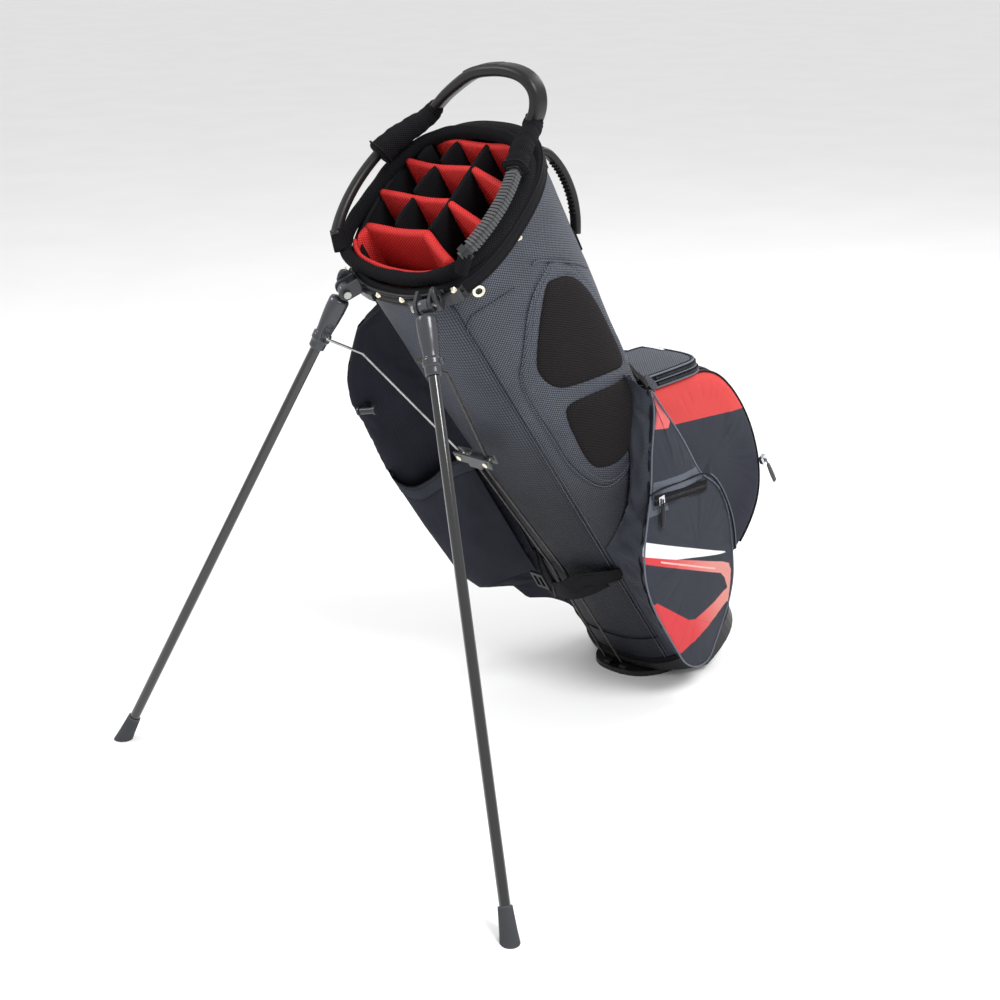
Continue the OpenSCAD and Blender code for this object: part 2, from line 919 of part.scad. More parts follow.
// Two rods from the clip to the foot plate, bowed in under the strap
module push_rods() {
    path = [[rod_top.x, clip_point.y, clip_point.z + rod_top.z], rod_mid, rod_low];
    color(steel) bag_frame() for (s = [-1, 1])
        bent_wire([for (p = path) [s * p.x, p.y, p.z]], wire_r);
}

// Point on the right leg, in the bag frame
function on_leg(v) = hinge_point + yawed([v.x, v.y * cos(leg_swing) + v.z * sin(leg_swing),
    -v.y * sin(leg_swing) + v.z * cos(leg_swing)]);
wire_peg = on_leg([2, 0, -wire_drop]);
wire_out = on_leg([-20, 0, -wire_drop]);
wire_bend = [80, -170, 752];

module wire() {
    eye_top = clip_point + unit(wire_bend - clip_point) * 5;
    bag_frame() {
        bent_wire([wire_peg, wire_out, wire_bend, eye_top], wire_r);
        translate(clip_point) rotate([90, 0, 0]) difference() {
            cylinder(h = 2.4, r = 6, center = true);
            cylinder(h = 4, r = 3.4, center = true);
        }
    }
}

module wire_right() {
    color(steel) wire();
}

module wire_left() {
    color(steel) mirror([1, 0, 0]) wire();
}

// ---- foot plate ----

plate_front = -37;
plate_back = 37;
plate_half = 70;
plate_round = 55;

module foot_plate() {
    web_half = ear_x - ear_wide / 2 - 0.6;
    color(black) difference() {
        union() {
            linear_extrude(plate_thick) intersection() {
                translate([0, plate_round]) polygon(oval(plate_half, plate_round - plate_front));
                translate([-100, plate_front]) square([200, plate_back - plate_front]);
            }
            translate([-web_half, plate_back - 1, 2]) cube([2 * web_half, plate_axis.x - plate_back + 1, 7]);
            plate_axis_frame() translate([0, 0, -web_half]) cylinder(h = 2 * web_half, r = ear_r);
            for (s = [-1, 1]) translate([s * rod_low.x - 6, plate_front + 5, plate_thick - 0.5]) cube([12, 9, 5]);
        }
        plate_axis_frame() cylinder(h = 200, r = plate_pin_r + fit, center = true);
    }
}

front_panel();
side_panel_left();
side_panel_right();
spine_panel();
collar();
rim_padding();
stand_yoke();
base_cup();
base_pad();
stays();
well_liner();
rear_divider();
upper_divider();
lower_divider();
long_divider();
short_dividers();
side_well_liner();
top_handle();
left_handle();
right_handle();
handle_sleeve_left();
handle_sleeve_right();
back_handle();
back_handle_anchors();
hip_pad_upper();
hip_pad_lower();
ball_pocket();
valuables_pocket();
side_pocket_right();
side_pocket_left();
open_pouch();
leg_bracket_left();
leg_bracket_right();
leg_pin_left();
leg_pin_right();
rivets();
grommet();
side_zipper();
ball_zipper();
leg_strap();
strap_buckle();
toggle();
foot_plate_pin();
leg_knuckle_left();
leg_tube_left();
leg_foot_left();
leg_knuckle_right();
leg_tube_right();
leg_foot_right();
rod_clip();
clip_rivets();
push_rods();
wire_left();
wire_right();
foot_plate();
side_slider();
side_pull();
ball_slider();
ball_pull();
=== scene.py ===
import math

import bmesh
import bpy
import numpy as np
from mathutils import Matrix, Vector


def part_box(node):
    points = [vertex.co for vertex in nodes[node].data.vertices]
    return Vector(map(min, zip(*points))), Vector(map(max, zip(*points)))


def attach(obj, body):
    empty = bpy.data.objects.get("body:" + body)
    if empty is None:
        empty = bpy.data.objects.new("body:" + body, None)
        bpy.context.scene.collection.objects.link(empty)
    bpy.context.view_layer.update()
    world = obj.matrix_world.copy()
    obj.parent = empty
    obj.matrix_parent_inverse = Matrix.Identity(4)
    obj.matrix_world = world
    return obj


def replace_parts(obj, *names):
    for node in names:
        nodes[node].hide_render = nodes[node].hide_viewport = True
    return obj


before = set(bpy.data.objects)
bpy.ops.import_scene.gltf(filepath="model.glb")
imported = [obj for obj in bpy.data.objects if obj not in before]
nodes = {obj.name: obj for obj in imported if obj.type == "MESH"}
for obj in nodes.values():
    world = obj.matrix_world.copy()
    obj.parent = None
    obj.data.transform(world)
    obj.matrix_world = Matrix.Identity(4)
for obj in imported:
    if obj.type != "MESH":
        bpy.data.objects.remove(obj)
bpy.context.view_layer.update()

# ---------------------------------------------------------------- bag frame and tube

# millimetres in the bag's own frame: front -Y, axis +Z
LEAN = math.radians(31.5)  # of the tube's axis from upright
BASE_BACK, BASE_HIGH = 93.0, 31.0  # the axis' foot, behind and above the ground frame's origin
RX0, RY0 = 113.0, 94.0  # half width and half depth at the foot
RX1, RY1, TOP = 128.0, 134.0, 880.0  # the same at the rim, and the rim's height
SLANT = math.radians(12)  # of the rim plane
POWER = 2.5  # of the tube's super-ellipse
PI = math.pi


def ground(p):
    """Bag-frame millimetres to ground-frame metres."""
    p = np.asarray(p, float)
    x, y, z = p[..., 0], p[..., 1], p[..., 2]
    c, s = math.cos(LEAN), math.sin(LEAN)
    return np.stack([x, BASE_BACK + y * c - z * s, BASE_HIGH + y * s + z * c], -1) / 1000


def unground(p):
    """Ground-frame metres back to bag-frame millimetres."""
    x, y, z = (np.asarray(p, float) * 1000).T
    c, s = math.cos(LEAN), math.sin(LEAN)
    y, z = y - BASE_BACK, z - BASE_HIGH
    return np.stack([x, y * c + z * s, z * c - y * s], -1)


def rx(z):
    """Half width of the tube at a height."""
    return RX0 + (RX1 - RX0) * z / TOP


def ry(z):
    """Half depth of the tube at a height."""
    return RY0 + (RY1 - RY0) * z / TOP


def rim(u, v, h=0.0):
    """A point on the slanted rim plane, h above it, in the bag frame."""
    u, v, h = np.broadcast_arrays(np.asarray(u, float), v, h)
    c, s = math.cos(SLANT), math.sin(SLANT)
    return np.stack([u, v * c - h * s, TOP + v * s + h * c], -1)


def skin(a, z, out=0.0):
    """The tube's surface at a plan angle from straight ahead, grown by out."""
    a, z, out = np.broadcast_arrays(np.asarray(a, float), z, out)
    gx, gy = rx(z) + out, ry(z) + out
    k = (np.abs(np.sin(a) / gx) ** POWER + np.abs(np.cos(a) / gy) ** POWER) ** (-1 / POWER)
    return np.stack([k * np.sin(a), -k * np.cos(a), z + 0 * k], -1)


def side_x(y, z, out=0.0):
    """X of the tube's right-hand surface above a point of the side view."""
    gx, gy = rx(z) + out, ry(z) + out
    t = np.clip(np.abs(y) / gy, 0, 0.995)
    return gx * (1 - t ** POWER) ** (1 / POWER)


def front_y(x, z):
    """Depth of the tube's surface, front or back, at a distance from its middle plane."""
    gx, gy = rx(z), ry(z)
    t = np.clip(np.abs(x) / gx, 0, 0.995)
    return gy * (1 - t ** POWER) ** (1 / POWER)


def push_out(p, out):
    """Moves points that are inside the tube out to its surface."""
    p = np.array(p, float)
    a = np.arctan2(p[..., 0], -p[..., 1])
    s = skin(a, p[..., 2], out)
    inside = np.hypot(p[..., 0], p[..., 1]) < np.hypot(s[..., 0], s[..., 1])
    p[inside] = s[inside]
    return p


def pull_in(p, out):
    """Moves points that lie outside the tube's surface plus out back onto it."""
    p = np.array(p, float)
    z = p[..., 2]
    a, b = rx(z) + out, ry(z) + out
    k = (np.abs(p[..., 0] / a) ** POWER + np.abs(p[..., 1] / b) ** POWER) ** (1 / POWER)
    p[..., :2] /= np.maximum(k, 1.0)[..., None]
    return p


# ---------------------------------------------------------------- polylines

def resample(pts, n, closed=False):
    """The same line with n points evenly spaced along it."""
    pts = np.asarray(pts, float)
    if closed:
        pts = np.vstack([pts, pts[:1]])
    d = np.concatenate([[0], np.cumsum(np.linalg.norm(np.diff(pts, axis=0), axis=1))])
    t = np.linspace(0, d[-1], n + 1 if closed else n)
    q = np.stack([np.interp(t, d, pts[:, i]) for i in range(pts.shape[1])], 1)
    return q[:-1] if closed else q


def chaikin(pts, rounds=3, closed=False):
    """Cuts a line's corners, a few times over."""
    pts = np.asarray(pts, float)
    for _ in range(rounds):
        if closed:
            nxt = np.roll(pts, -1, 0)
            pts = np.stack([0.75 * pts + 0.25 * nxt, 0.25 * pts + 0.75 * nxt], 1).reshape(-1, pts.shape[1])
        else:
            a, b = pts[:-1], pts[1:]
            mid = np.stack([0.75 * a + 0.25 * b, 0.25 * a + 0.75 * b], 1).reshape(-1, pts.shape[1])
            pts = np.vstack([pts[:1], mid[1:-1], pts[-1:]])
    return pts


def smooth(pts, n, closed=False, rounds=3):
    """A rounded line through a coarse outline, with n points."""
    return resample(chaikin(pts, rounds, closed), n, closed)


def inset_distance(p, poly):
    """Signed distance of points to a closed polygon, positive inside."""
    p = np.asarray(p, float)
    poly = np.asarray(poly, float)
    best = np.full(p.shape[:-1], 1e9)
    inside = np.zeros(p.shape[:-1], bool)
    for a, b in zip(poly, np.roll(poly, -1, 0)):
        ab = b - a
        t = np.clip(((p - a) @ ab) / (ab @ ab), 0, 1)
        best = np.minimum(best, np.linalg.norm(p - a - t[..., None] * ab, axis=-1))
        crosses = (a[1] > p[..., 1]) != (b[1] > p[..., 1])
        with np.errstate(divide="ignore", invalid="ignore"):
            at = a[0] + (p[..., 1] - a[1]) * (b[0] - a[0]) / (b[1] - a[1])
        inside ^= crosses & (p[..., 0] < at)
    return np.where(inside, best, -best)


def ripple(p, size, seed=0.0):
    """Smooth, fixed, low-frequency noise from -1 to 1."""
    x, y, z = (np.asarray(p[..., i]) / size for i in range(3))
    return (np.sin(1.7 * x + 2.1 * y + seed) * np.sin(1.3 * z - 1.9 * x + 2 * seed)
            + 0.6 * np.sin(2.9 * z + 1.1 * y + 3 * seed) * np.sin(2.3 * y - 0.7 * z + seed)) / 1.6


# ---------------------------------------------------------------- mesh helpers

def add_mesh(name, verts, faces, mat, body="bag", uvs=None, slots=None, local=True, weld=True,
             smooth_shade=True):
    """One piece that rides on a body; verts are in the bag's frame, or the ground's if not local."""
    verts = ground(verts) if local else np.asarray(verts, float) / 1000
    me = bpy.data.meshes.new(name)
    me.from_pydata([tuple(v) for v in verts.reshape(-1, 3)], [], faces)
    mats = mat if isinstance(mat, (list, tuple)) else [mat]
    for m in mats:
        me.materials.append(m)
    if uvs is not None:
        layer = me.uv_layers.new(name="weave")
        flat = [c for f in uvs for uv in f for c in uv]
        layer.data.foreach_set("uv", flat)
    if slots is not None:
        me.polygons.foreach_set("material_index", slots)
    me.polygons.foreach_set("use_smooth", [smooth_shade] * len(me.polygons))
    o = bpy.data.objects.new(name, me)
    bpy.context.scene.collection.objects.link(o)
    bm = bmesh.new()
    bm.from_mesh(me)
    if weld:
        bmesh.ops.remove_doubles(bm, verts=bm.verts, dist=2e-5)
    bmesh.ops.dissolve_degenerate(bm, edges=bm.edges, dist=1e-6)
    bmesh.ops.recalc_face_normals(bm, faces=bm.faces)
    bm.to_mesh(me)
    bm.free()
    me.update()
    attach(o, body)
    return o


def grid(name, P, mat, wrap_u=False, wrap_v=False, uv=None, cap=False, slot_of=None, **kw):
    """A mesh from an array of points (nu, nv, 3); uv is the weave's place in millimetres."""
    P = np.asarray(P, float)
    nu, nv = P.shape[:2]
    if uv is None:
        Pu = np.concatenate([P, P[:1]], 0) if wrap_u else P
        Pv = np.concatenate([P, P[:, :1]], 1) if wrap_v else P
        du = np.linalg.norm(np.diff(Pu, axis=0), axis=-1).mean(1)
        dv = np.linalg.norm(np.diff(Pv, axis=1), axis=-1).mean(0)
        cu = np.concatenate([[0], np.cumsum(du)])
        cv = np.concatenate([[0], np.cumsum(dv)])
        U, V = np.meshgrid(cu, cv, indexing="ij")
    else:
        U, V = uv
    faces, uvs, slots = [], [], []
    for i in range(nu if wrap_u else nu - 1):
        for j in range(nv if wrap_v else nv - 1):
            k = [(i, j), (i + 1, j), (i + 1, j + 1), (i, j + 1)]
            faces.append([(a % nu) * nv + b % nv for a, b in k])
            uvs.append([(U[min(a, U.shape[0] - 1), min(b, U.shape[1] - 1)],
                         V[min(a, U.shape[0] - 1), min(b, U.shape[1] - 1)]) for a, b in k])
            if slot_of is not None:
                slots.append(slot_of(i, j))
    if cap:
        for i in (0, nu - 1):
            ring = [i * nv + j for j in range(nv)]
            faces.append(ring if i else ring[::-1])
            uvs.append([(U[i, min(j, U.shape[1] - 1)], V[i, min(j, U.shape[1] - 1)]) for j in range(nv)])
            if slot_of is not None:
                slots.append(0)
    return add_mesh(name, P.reshape(-1, 3), faces, mat, uvs=uvs, slots=slots if slot_of else None, **kw)


def frames_along(pts, closed=False, up=None):
    """Tangent, side and top directions at each point of a line."""
    pts = np.asarray(pts, float)
    if closed:
        t = np.roll(pts, -1, 0) - np.roll(pts, 1, 0)
    else:
        t = np.gradient(pts, axis=0)
    t /= np.linalg.norm(t, axis=1)[:, None] + 1e-12
    if up is not None:
        ups = np.broadcast_to(np.asarray(up, float), pts.shape)
        side = np.cross(t, ups)
        side /= np.linalg.norm(side, axis=1)[:, None] + 1e-12
        return t, side, np.cross(side, t)
    n = np.cross(t[0], (0.31, 0.52, 0.79))
    sides = []
    for d in t:
        n = n - d * (n @ d)
        n /= np.linalg.norm(n)
        sides.append(n.copy())
    sides = np.array(sides)
    return t, sides, np.cross(sides, t)


def sweep(name, pts, section, mat, closed=False, up=None, size=None, **kw):
    """Sweeps a closed 2-D section along points; size scales it along the way."""
    pts = np.asarray(pts, float)
    _, side, top = frames_along(pts, closed, up)
    sec = np.asarray(section, float)
    size = np.ones(len(pts)) if size is None else np.asarray(size, float)
    spread = sec[None, :, :1] * side[:, None] + sec[None, :, 1:] * top[:, None]
    P = pts[:, None] + size[:, None, None] * spread
    return grid(name, P, mat, wrap_u=closed, wrap_v=True, cap=not closed, **kw)


def circle(r, n=10):
    a = np.linspace(0, 2 * PI, n, endpoint=False)
    return np.stack([r * np.cos(a), r * np.sin(a)], 1)


def round_box(w, h, r, n=5):
    """Outline of a rounded rectangle, w by h across."""
    out = []
    for cx, cy, a0 in ((1, 1, 0), (-1, 1, PI / 2), (-1, -1, PI), (1, -1, 1.5 * PI)):
        a = np.linspace(a0, a0 + PI / 2, n)
        out.append(np.stack([cx * (w / 2 - r) + r * np.cos(a), cy * (h / 2 - r) + r * np.sin(a)], 1))
    return np.vstack(out)


def tube(name, pts, r, mat, closed=False, n=8, **kw):
    return sweep(name, pts, circle(r, n), mat, closed=closed, **kw)


def blocks(name, places, mat, body="bag", local=True):
    """Many small bevelled boxes in one mesh: (centre, three half-axes) each."""
    verts, faces = [], []
    for c, a, b, d in places:
        c, a, b, d = (np.asarray(v, float) for v in (c, a, b, d))
        k = len(verts)
        for sd in (-1, 1):
            s = 0.72
            ring = [(-1, -s), (-s, -1), (s, -1), (1, -s), (1, s), (s, 1), (-s, 1), (-1, s)]
            verts += [c + sd * d + p * a + q * b for p, q in ring]
        faces += [[k + i for i in range(8)][::-1], [k + 8 + i for i in range(8)]]
        faces += [[k + i, k + (i + 1) % 8, k + 8 + (i + 1) % 8, k + 8 + i] for i in range(8)]
    return add_mesh(name, np.array(verts), faces, mat, body=body, local=local, weld=False, smooth_shade=False)


def stitches(name, pts, normal, mat, pitch=4.2, long=2.6, r=0.42):
    """A row of raised thread stitches along a line; normal is outwards there."""
    pts = np.asarray(pts, float)
    total = np.linalg.norm(np.diff(pts, axis=0), axis=1).sum()
    n = max(3, int(total / pitch))
    q = resample(pts, n)
    t, _, _ = frames_along(q)
    if np.ndim(normal) == 1:
        nor = np.broadcast_to(np.asarray(normal, float), q.shape)
    else:
        nor = resample(normal, n)
    nor = nor / np.linalg.norm(nor, axis=1)[:, None]
    places = []
    for p, d, m in zip(q, t, nor):
        side = np.cross(d, m)
        side /= np.linalg.norm(side) + 1e-9
        places.append((p + m * r * 0.4, side * r, m * r, d * long / 2))
    return blocks(name, places, mat)


def skin_line(yz, out, n):
    """A smooth line on the tube's right side, from points of the side view, with its outward normals."""
    q = smooth(yz, n)
    p = np.stack([side_x(q[:, 0], q[:, 1], out), q[:, 0], q[:, 1]], 1)
    g = np.stack([p[:, 0] / rx(p[:, 2]) ** 2, p[:, 1] / ry(p[:, 2]) ** 2, 0 * p[:, 2]], 1)
    return p, g / np.linalg.norm(g, axis=1)[:, None]


# ---------------------------------------------------------------- materials

class Shader:
    """A small builder of node materials."""

    def __init__(self, name):
        self.mat = bpy.data.materials.new(name)
        self.mat.use_nodes = True
        self.tree = self.mat.node_tree
        self.bsdf = self.tree.nodes["Principled BSDF"]

    def node(self, kind, ins=None, **props):
        n = self.tree.nodes.new(kind)
        for k, v in props.items():
            setattr(n, k, v)
        for k, v in (ins or {}).items():
            if isinstance(v, bpy.types.NodeSocket):
                self.tree.links.new(v, n.inputs[k])
            else:
                n.inputs[k].default_value = v
        return n

    def m(self, op, a, b=None, c=None):
        """A math node's result."""
        ins = {0: a}
        if b is not None:
            ins[1] = b
        if c is not None:
            ins[2] = c
        return self.node("ShaderNodeMath", ins, operation=op).outputs[0]

    def mix(self, fac, a, b):
        n = self.node("ShaderNodeMix", {0: fac, 6: a, 7: b}, data_type="RGBA")
        return n.outputs[2]

    def ramp(self, value, lo, hi):
        """0 at lo rising smoothly to 1 at hi."""
        n = self.node("ShaderNodeMapRange", {0: value, 1: lo, 2: hi}, interpolation_type="SMOOTHSTEP")
        return n.outputs[0]

    def noise(self, vec, scale, detail=3.0):
        return self.node("ShaderNodeTexNoise", {"Vector": vec, "Scale": scale, "Detail": detail}).outputs[0]

    def uv_mm(self):
        """The weave coordinate, in millimetres."""
        uv = self.node("ShaderNodeUVMap", uv_map="weave").outputs[0]
        s = self.node("ShaderNodeSeparateXYZ", {0: uv})
        return s.outputs[0], s.outputs[1]

    def place_mm(self):
        """Place in the row's frame, in millimetres."""
        co = self.node("ShaderNodeTexCoord").outputs["Object"]
        return self.node("ShaderNodeVectorMath", {0: co, "Scale": 1000.0}, operation="SCALE").outputs[0]

    def bag_yz(self):
        """Side-view coordinates in the bag's own frame, in millimetres."""
        s = self.node("ShaderNodeSeparateXYZ", {0: self.place_mm()})
        dy = self.m("SUBTRACT", s.outputs[1], BASE_BACK)
        dz = self.m("SUBTRACT", s.outputs[2], BASE_HIGH)
        c, n = math.cos(LEAN), math.sin(LEAN)
        y = self.m("ADD", self.m("MULTIPLY", dy, c), self.m("MULTIPLY", dz, n))
        z = self.m("SUBTRACT", self.m("MULTIPLY", dz, c), self.m("MULTIPLY", dy, n))
        return y, z

    def edge(self, y, z, a, b, soft=0.7):
        """1 on the left of the line from a to b in the side view, 0 on its right."""
        dx, dy = b[0] - a[0], b[1] - a[1]
        n = math.hypot(dx, dy)
        d = self.m("ADD", self.m("MULTIPLY", self.m("SUBTRACT", y, float(a[0])), -dy / n),
                   self.m("MULTIPLY", self.m("SUBTRACT", z, float(a[1])), dx / n))
        return self.ramp(d, -soft, soft)

    def convex(self, y, z, pts, soft=0.7):
        """1 inside a convex polygon given counter-clockwise in the side view."""
        val = None
        for a, b in zip(pts, pts[1:] + pts[:1]):
            e = self.edge(y, z, a, b, soft)
            val = e if val is None else self.m("MINIMUM", val, e)
        return val

    def bump(self, height, distance, strength=1.0, prev=None):
        ins = {"Height": height, "Distance": distance / 1000, "Strength": strength}
        if prev is not None:
            ins["Normal"] = prev
        return self.node("ShaderNodeBump", ins).outputs[0]

    def finish(self, color, rough, normal=None, **sockets):
        for key, v in (("Base Color", color), ("Roughness", rough)):
            if isinstance(v, bpy.types.NodeSocket):
                self.tree.links.new(v, self.bsdf.inputs[key])
            else:
                self.bsdf.inputs[key].default_value = v
        if normal is not None:
            self.tree.links.new(normal, self.bsdf.inputs["Normal"])
        for k, v in sockets.items():
            self.bsdf.inputs[k.replace("_", " ")].default_value = v
        return self.mat


def rgb(r, g, b):
    return (r, g, b, 1.0)


def shade(color, share):
    """A darker tone of a colour."""
    return tuple(share * c for c in color[:3]) + (1,)


def weave_height(s, u, v, kind, pitch):
    """Height field of a weave, 0 to 1."""
    if kind == "diamond":
        a = s.m("SINE", s.m("MULTIPLY", s.m("ADD", u, v), PI / pitch))
        b = s.m("SINE", s.m("MULTIPLY", s.m("SUBTRACT", u, v), PI / pitch))
        return s.m("MULTIPLY", s.m("ABSOLUTE", a), s.m("ABSOLUTE", b))
    if kind == "twill":
        a = s.m("SINE", s.m("MULTIPLY", s.m("ADD", u, s.m("MULTIPLY", v, 0.45)), 2 * PI / pitch))
        return s.m("MULTIPLY_ADD", a, 0.5, 0.5)
    if kind == "column":
        a = s.m("ABSOLUTE", s.m("SINE", s.m("MULTIPLY", u, PI / pitch)))
        b = s.m("ABSOLUTE", s.m("SINE", s.m("MULTIPLY", v, PI / (pitch * 1.3))))
        return s.m("MULTIPLY", a, s.m("MULTIPLY_ADD", b, 0.6, 0.4))
    if kind == "rib":
        a = s.m("SINE", s.m("MULTIPLY", v, 2 * PI / pitch))
        b = s.m("SINE", s.m("MULTIPLY", u, 2 * PI / (pitch * 0.55)))
        return s.m("ADD", s.m("MULTIPLY_ADD", a, 0.35, 0.5), s.m("MULTIPLY", b, 0.15))
    row = s.m("SINE", s.m("MULTIPLY", v, 2 * PI / pitch))
    hop = s.m("MULTIPLY", s.m("SIGN", row), PI / 2)
    a = s.m("SINE", s.m("ADD", s.m("MULTIPLY", u, 2 * PI / (pitch * 1.25)), hop))
    return s.m("MULTIPLY_ADD", s.m("MULTIPLY", a, s.m("ABSOLUTE", row)), 0.5, 0.5)


def fabric(name, low, high, kind, pitch, depth, rough, mottle, paint=None, spec=0.08):
    """Woven or knitted cloth: thread tops lighter and hollows darker, partly the yarn's own two tones and
    partly a painted highlight on the tops and painted shade in the hollows; soft mottling, fine creases and
    worn spots.
    """
    s = Shader(name)
    u, v = s.uv_mm()
    place = s.place_mm()
    h = weave_height(s, u, v, kind, pitch)
    cloud = s.noise(place, 0.012, 4.0)
    fine = s.noise(place, 0.9, 2.0)
    # thread tops lighter than the hollows between them: partly the yarn's own tones, partly a painted
    # highlight on the tops and painted shade in the hollows
    base = s.mix(s.ramp(h, 0.12, 0.85), low, high)
    base = s.mix(s.m("MULTIPLY", s.ramp(cloud, 0.35, 0.75), mottle), base, shade(low, 0.6))
    if paint is not None:
        base = paint(s, base, h)
    base = s.mix(s.m("MULTIPLY", s.ramp(fine, 0.5, 0.75), 0.12), base, high)
    crease = s.noise(place, 0.035, 3.0)
    n1 = s.bump(crease, 1.25, 0.5)
    n2 = s.bump(h, depth, 0.9, n1)
    n3 = s.bump(fine, 0.12, 0.6, n2)
    r = s.m("MULTIPLY_ADD", s.m("ADD", h, cloud), -0.08, rough + 0.08)
    return s.finish(base, r, n3, Specular_IOR_Level=spec)


def plastic(name, color, rough=0.42, grain=0.12, scale=0.9, wear=0.3, coat=0.0, spec=0.25):
    """Moulded plastic or paint with a fine grain, faint scuffs and rubbed edges."""
    s = Shader(name)
    place = s.place_mm()
    fine = s.noise(place, scale, 3.0)
    cloud = s.noise(place, 0.03, 4.0)
    geo = s.node("ShaderNodeNewGeometry").outputs["Pointiness"]
    worn = s.m("MULTIPLY", s.ramp(geo, 0.53, 0.6), wear)
    light = tuple(min(1.0, 2.2 * c + 0.03) for c in color[:3]) + (1,)
    base = s.mix(s.m("MULTIPLY", s.ramp(cloud, 0.45, 0.7), 0.25), color, shade(color, 0.75))
    base = s.mix(worn, base, light)
    r = s.m("MULTIPLY_ADD", cloud, 0.16, rough - 0.08)
    return s.finish(base, r, s.bump(fine, grain, 0.6), Coat_Weight=coat, Coat_Roughness=0.08,
                    Specular_IOR_Level=spec)


def metal(name, color, rough, brush=0.25):
    """Drawn or plated metal with fine streaks and dull spots."""
    s = Shader(name)
    place = s.place_mm()
    streak = s.noise(s.node("ShaderNodeMapping", {0: place, 3: (1.0, 1.0, 0.06)}).outputs[0], 1.4, 3.0)
    spots = s.noise(place, 0.08, 4.0)
    base = s.mix(s.ramp(spots, 0.45, 0.72), color, shade(color, 0.62))
    r = s.m("MULTIPLY_ADD", streak, brush, rough - brush / 2)
    return s.finish(base, r, s.bump(streak, 0.05, 0.5), Metallic=1.0)


SLATE_LO, SLATE_HI = rgb(0.014, 0.016, 0.022), rgb(0.105, 0.118, 0.150)
NAVY_LO, NAVY_HI = rgb(0.009, 0.009, 0.014), rgb(0.024, 0.025, 0.036)
GREY_LO, GREY_HI = rgb(0.026, 0.028, 0.037), rgb(0.046, 0.049, 0.063)
BLACK_LO, BLACK_HI = rgb(0.002, 0.002, 0.0025), rgb(0.012, 0.012, 0.014)
RED_LO, RED_HI = rgb(0.36, 0.014, 0.014), rgb(0.72, 0.045, 0.042)
CORAL_LO, CORAL_HI = rgb(0.50, 0.046, 0.044), rgb(0.63, 0.080, 0.075)
WHITE = rgb(0.80, 0.81, 0.84)
FOOT = rgb(0.010, 0.010, 0.014)


def fade_down(s, base, h):
    """The upper weave darkens towards the foot of the bag."""
    _, z = s.bag_yz()
    return s.mix(s.m("MULTIPLY", s.ramp(z, 620.0, 330.0), 0.85), base, FOOT)


def fade_front(s, base, h):
    """The front panel fades sooner, and a little darker: its slate weave is mixed towards the dark twill as
    painted shade on the less lit front.
    """
    _, z = s.bag_yz()
    # painted shade on the less lit front: the slate weave mixed towards the dark twill
    base = s.mix(0.3, base, NAVY_HI)
    return s.mix(s.m("MULTIPLY", s.ramp(z, 720.0, 360.0), 0.9), base, FOOT)


# name, tone of the hollows and of the thread tops (partly the yarn's own tones, partly painted shade and
# painted highlight), weave, its pitch and depth in mm, roughness, mottling
slate = fabric("slate_diamond_weave", SLATE_LO, SLATE_HI, "diamond", 4.4, 0.6, 0.5, 0.2, spec=0.3)
slate_side = fabric("slate_diamond_side", SLATE_LO, SLATE_HI, "diamond", 4.4, 0.6, 0.5, 0.3,
                    paint=fade_down, spec=0.3)
# the front panel's slate weave, darkened a little as painted shade by fade_front
front_cloth = fabric("ribbed_slate_painted_shade", SLATE_LO, SLATE_HI, "column", 4.0, 0.6, 0.55, 0.35,
                     paint=fade_front, spec=0.2)
navy = fabric("charcoal_twill", NAVY_LO, NAVY_HI, "twill", 1.7, 0.2, 0.72, 0.35)
# the pouch's twill is lighter than the left pocket's charcoal twill: partly the cloths' own tones, partly
# painted shade on the pocket above the pouch
pouch_cloth = fabric("pouch_twill", rgb(0.018, 0.019, 0.026), rgb(0.034, 0.036, 0.048),
                     "twill", 1.7, 0.2, 0.7, 0.3)
# the pouch's hem: the pouch's cloth drawn lighter as a painted highlight along its lit top edge
pouch_hem_highlight_cloth = fabric("pouch_hem_twill_painted_highlight", rgb(0.022, 0.025, 0.034), rgb(0.046, 0.050, 0.062),
                         "twill", 1.7, 0.2, 0.7, 0.2)
black_mesh = fabric("black_spacer_mesh", BLACK_LO, BLACK_HI, "mesh", 3.4, 0.8, 0.85, 0.2)
pad_mesh = fabric("hip_pad_mesh", BLACK_LO, rgb(0.024, 0.021, 0.021), "mesh", 3.0, 0.7, 0.85, 0.1)
red_mesh = fabric("red_spacer_mesh", RED_LO, RED_HI, "mesh", 3.8, 0.8, 0.6, 0.15, spec=0.15)
webbing = fabric("black_webbing", BLACK_LO, BLACK_HI, "rib", 2.2, 0.35, 0.7, 0.2)
binding = fabric("black_binding", rgb(0.003, 0.003, 0.004), rgb(0.010, 0.010, 0.012),
                 "twill", 1.2, 0.12, 0.6, 0.2)
zip_tape = fabric("zip_tape", BLACK_LO, rgb(0.010, 0.010, 0.011), "twill", 1.0, 0.12, 0.55, 0.1)
piping = fabric("silver_piping", rgb(0.065, 0.075, 0.10), rgb(0.13, 0.15, 0.19),
                "twill", 1.2, 0.1, 0.42, 0.1, spec=0.3)
dark_piping = fabric("dark_piping", rgb(0.004, 0.004, 0.006), rgb(0.013, 0.014, 0.018),
                     "twill", 1.2, 0.1, 0.55, 0.1)
thread = fabric("slate_thread", rgb(0.06, 0.07, 0.09), rgb(0.13, 0.14, 0.17), "twill", 0.6, 0.05, 0.6, 0.1)
dark_thread = fabric("dark_thread", rgb(0.012, 0.012, 0.016), rgb(0.03, 0.03, 0.036),
                     "twill", 0.6, 0.05, 0.6, 0.1)
white_cloth = fabric("white_print", rgb(0.70, 0.71, 0.74), WHITE, "twill", 1.4, 0.08, 0.5, 0.05)

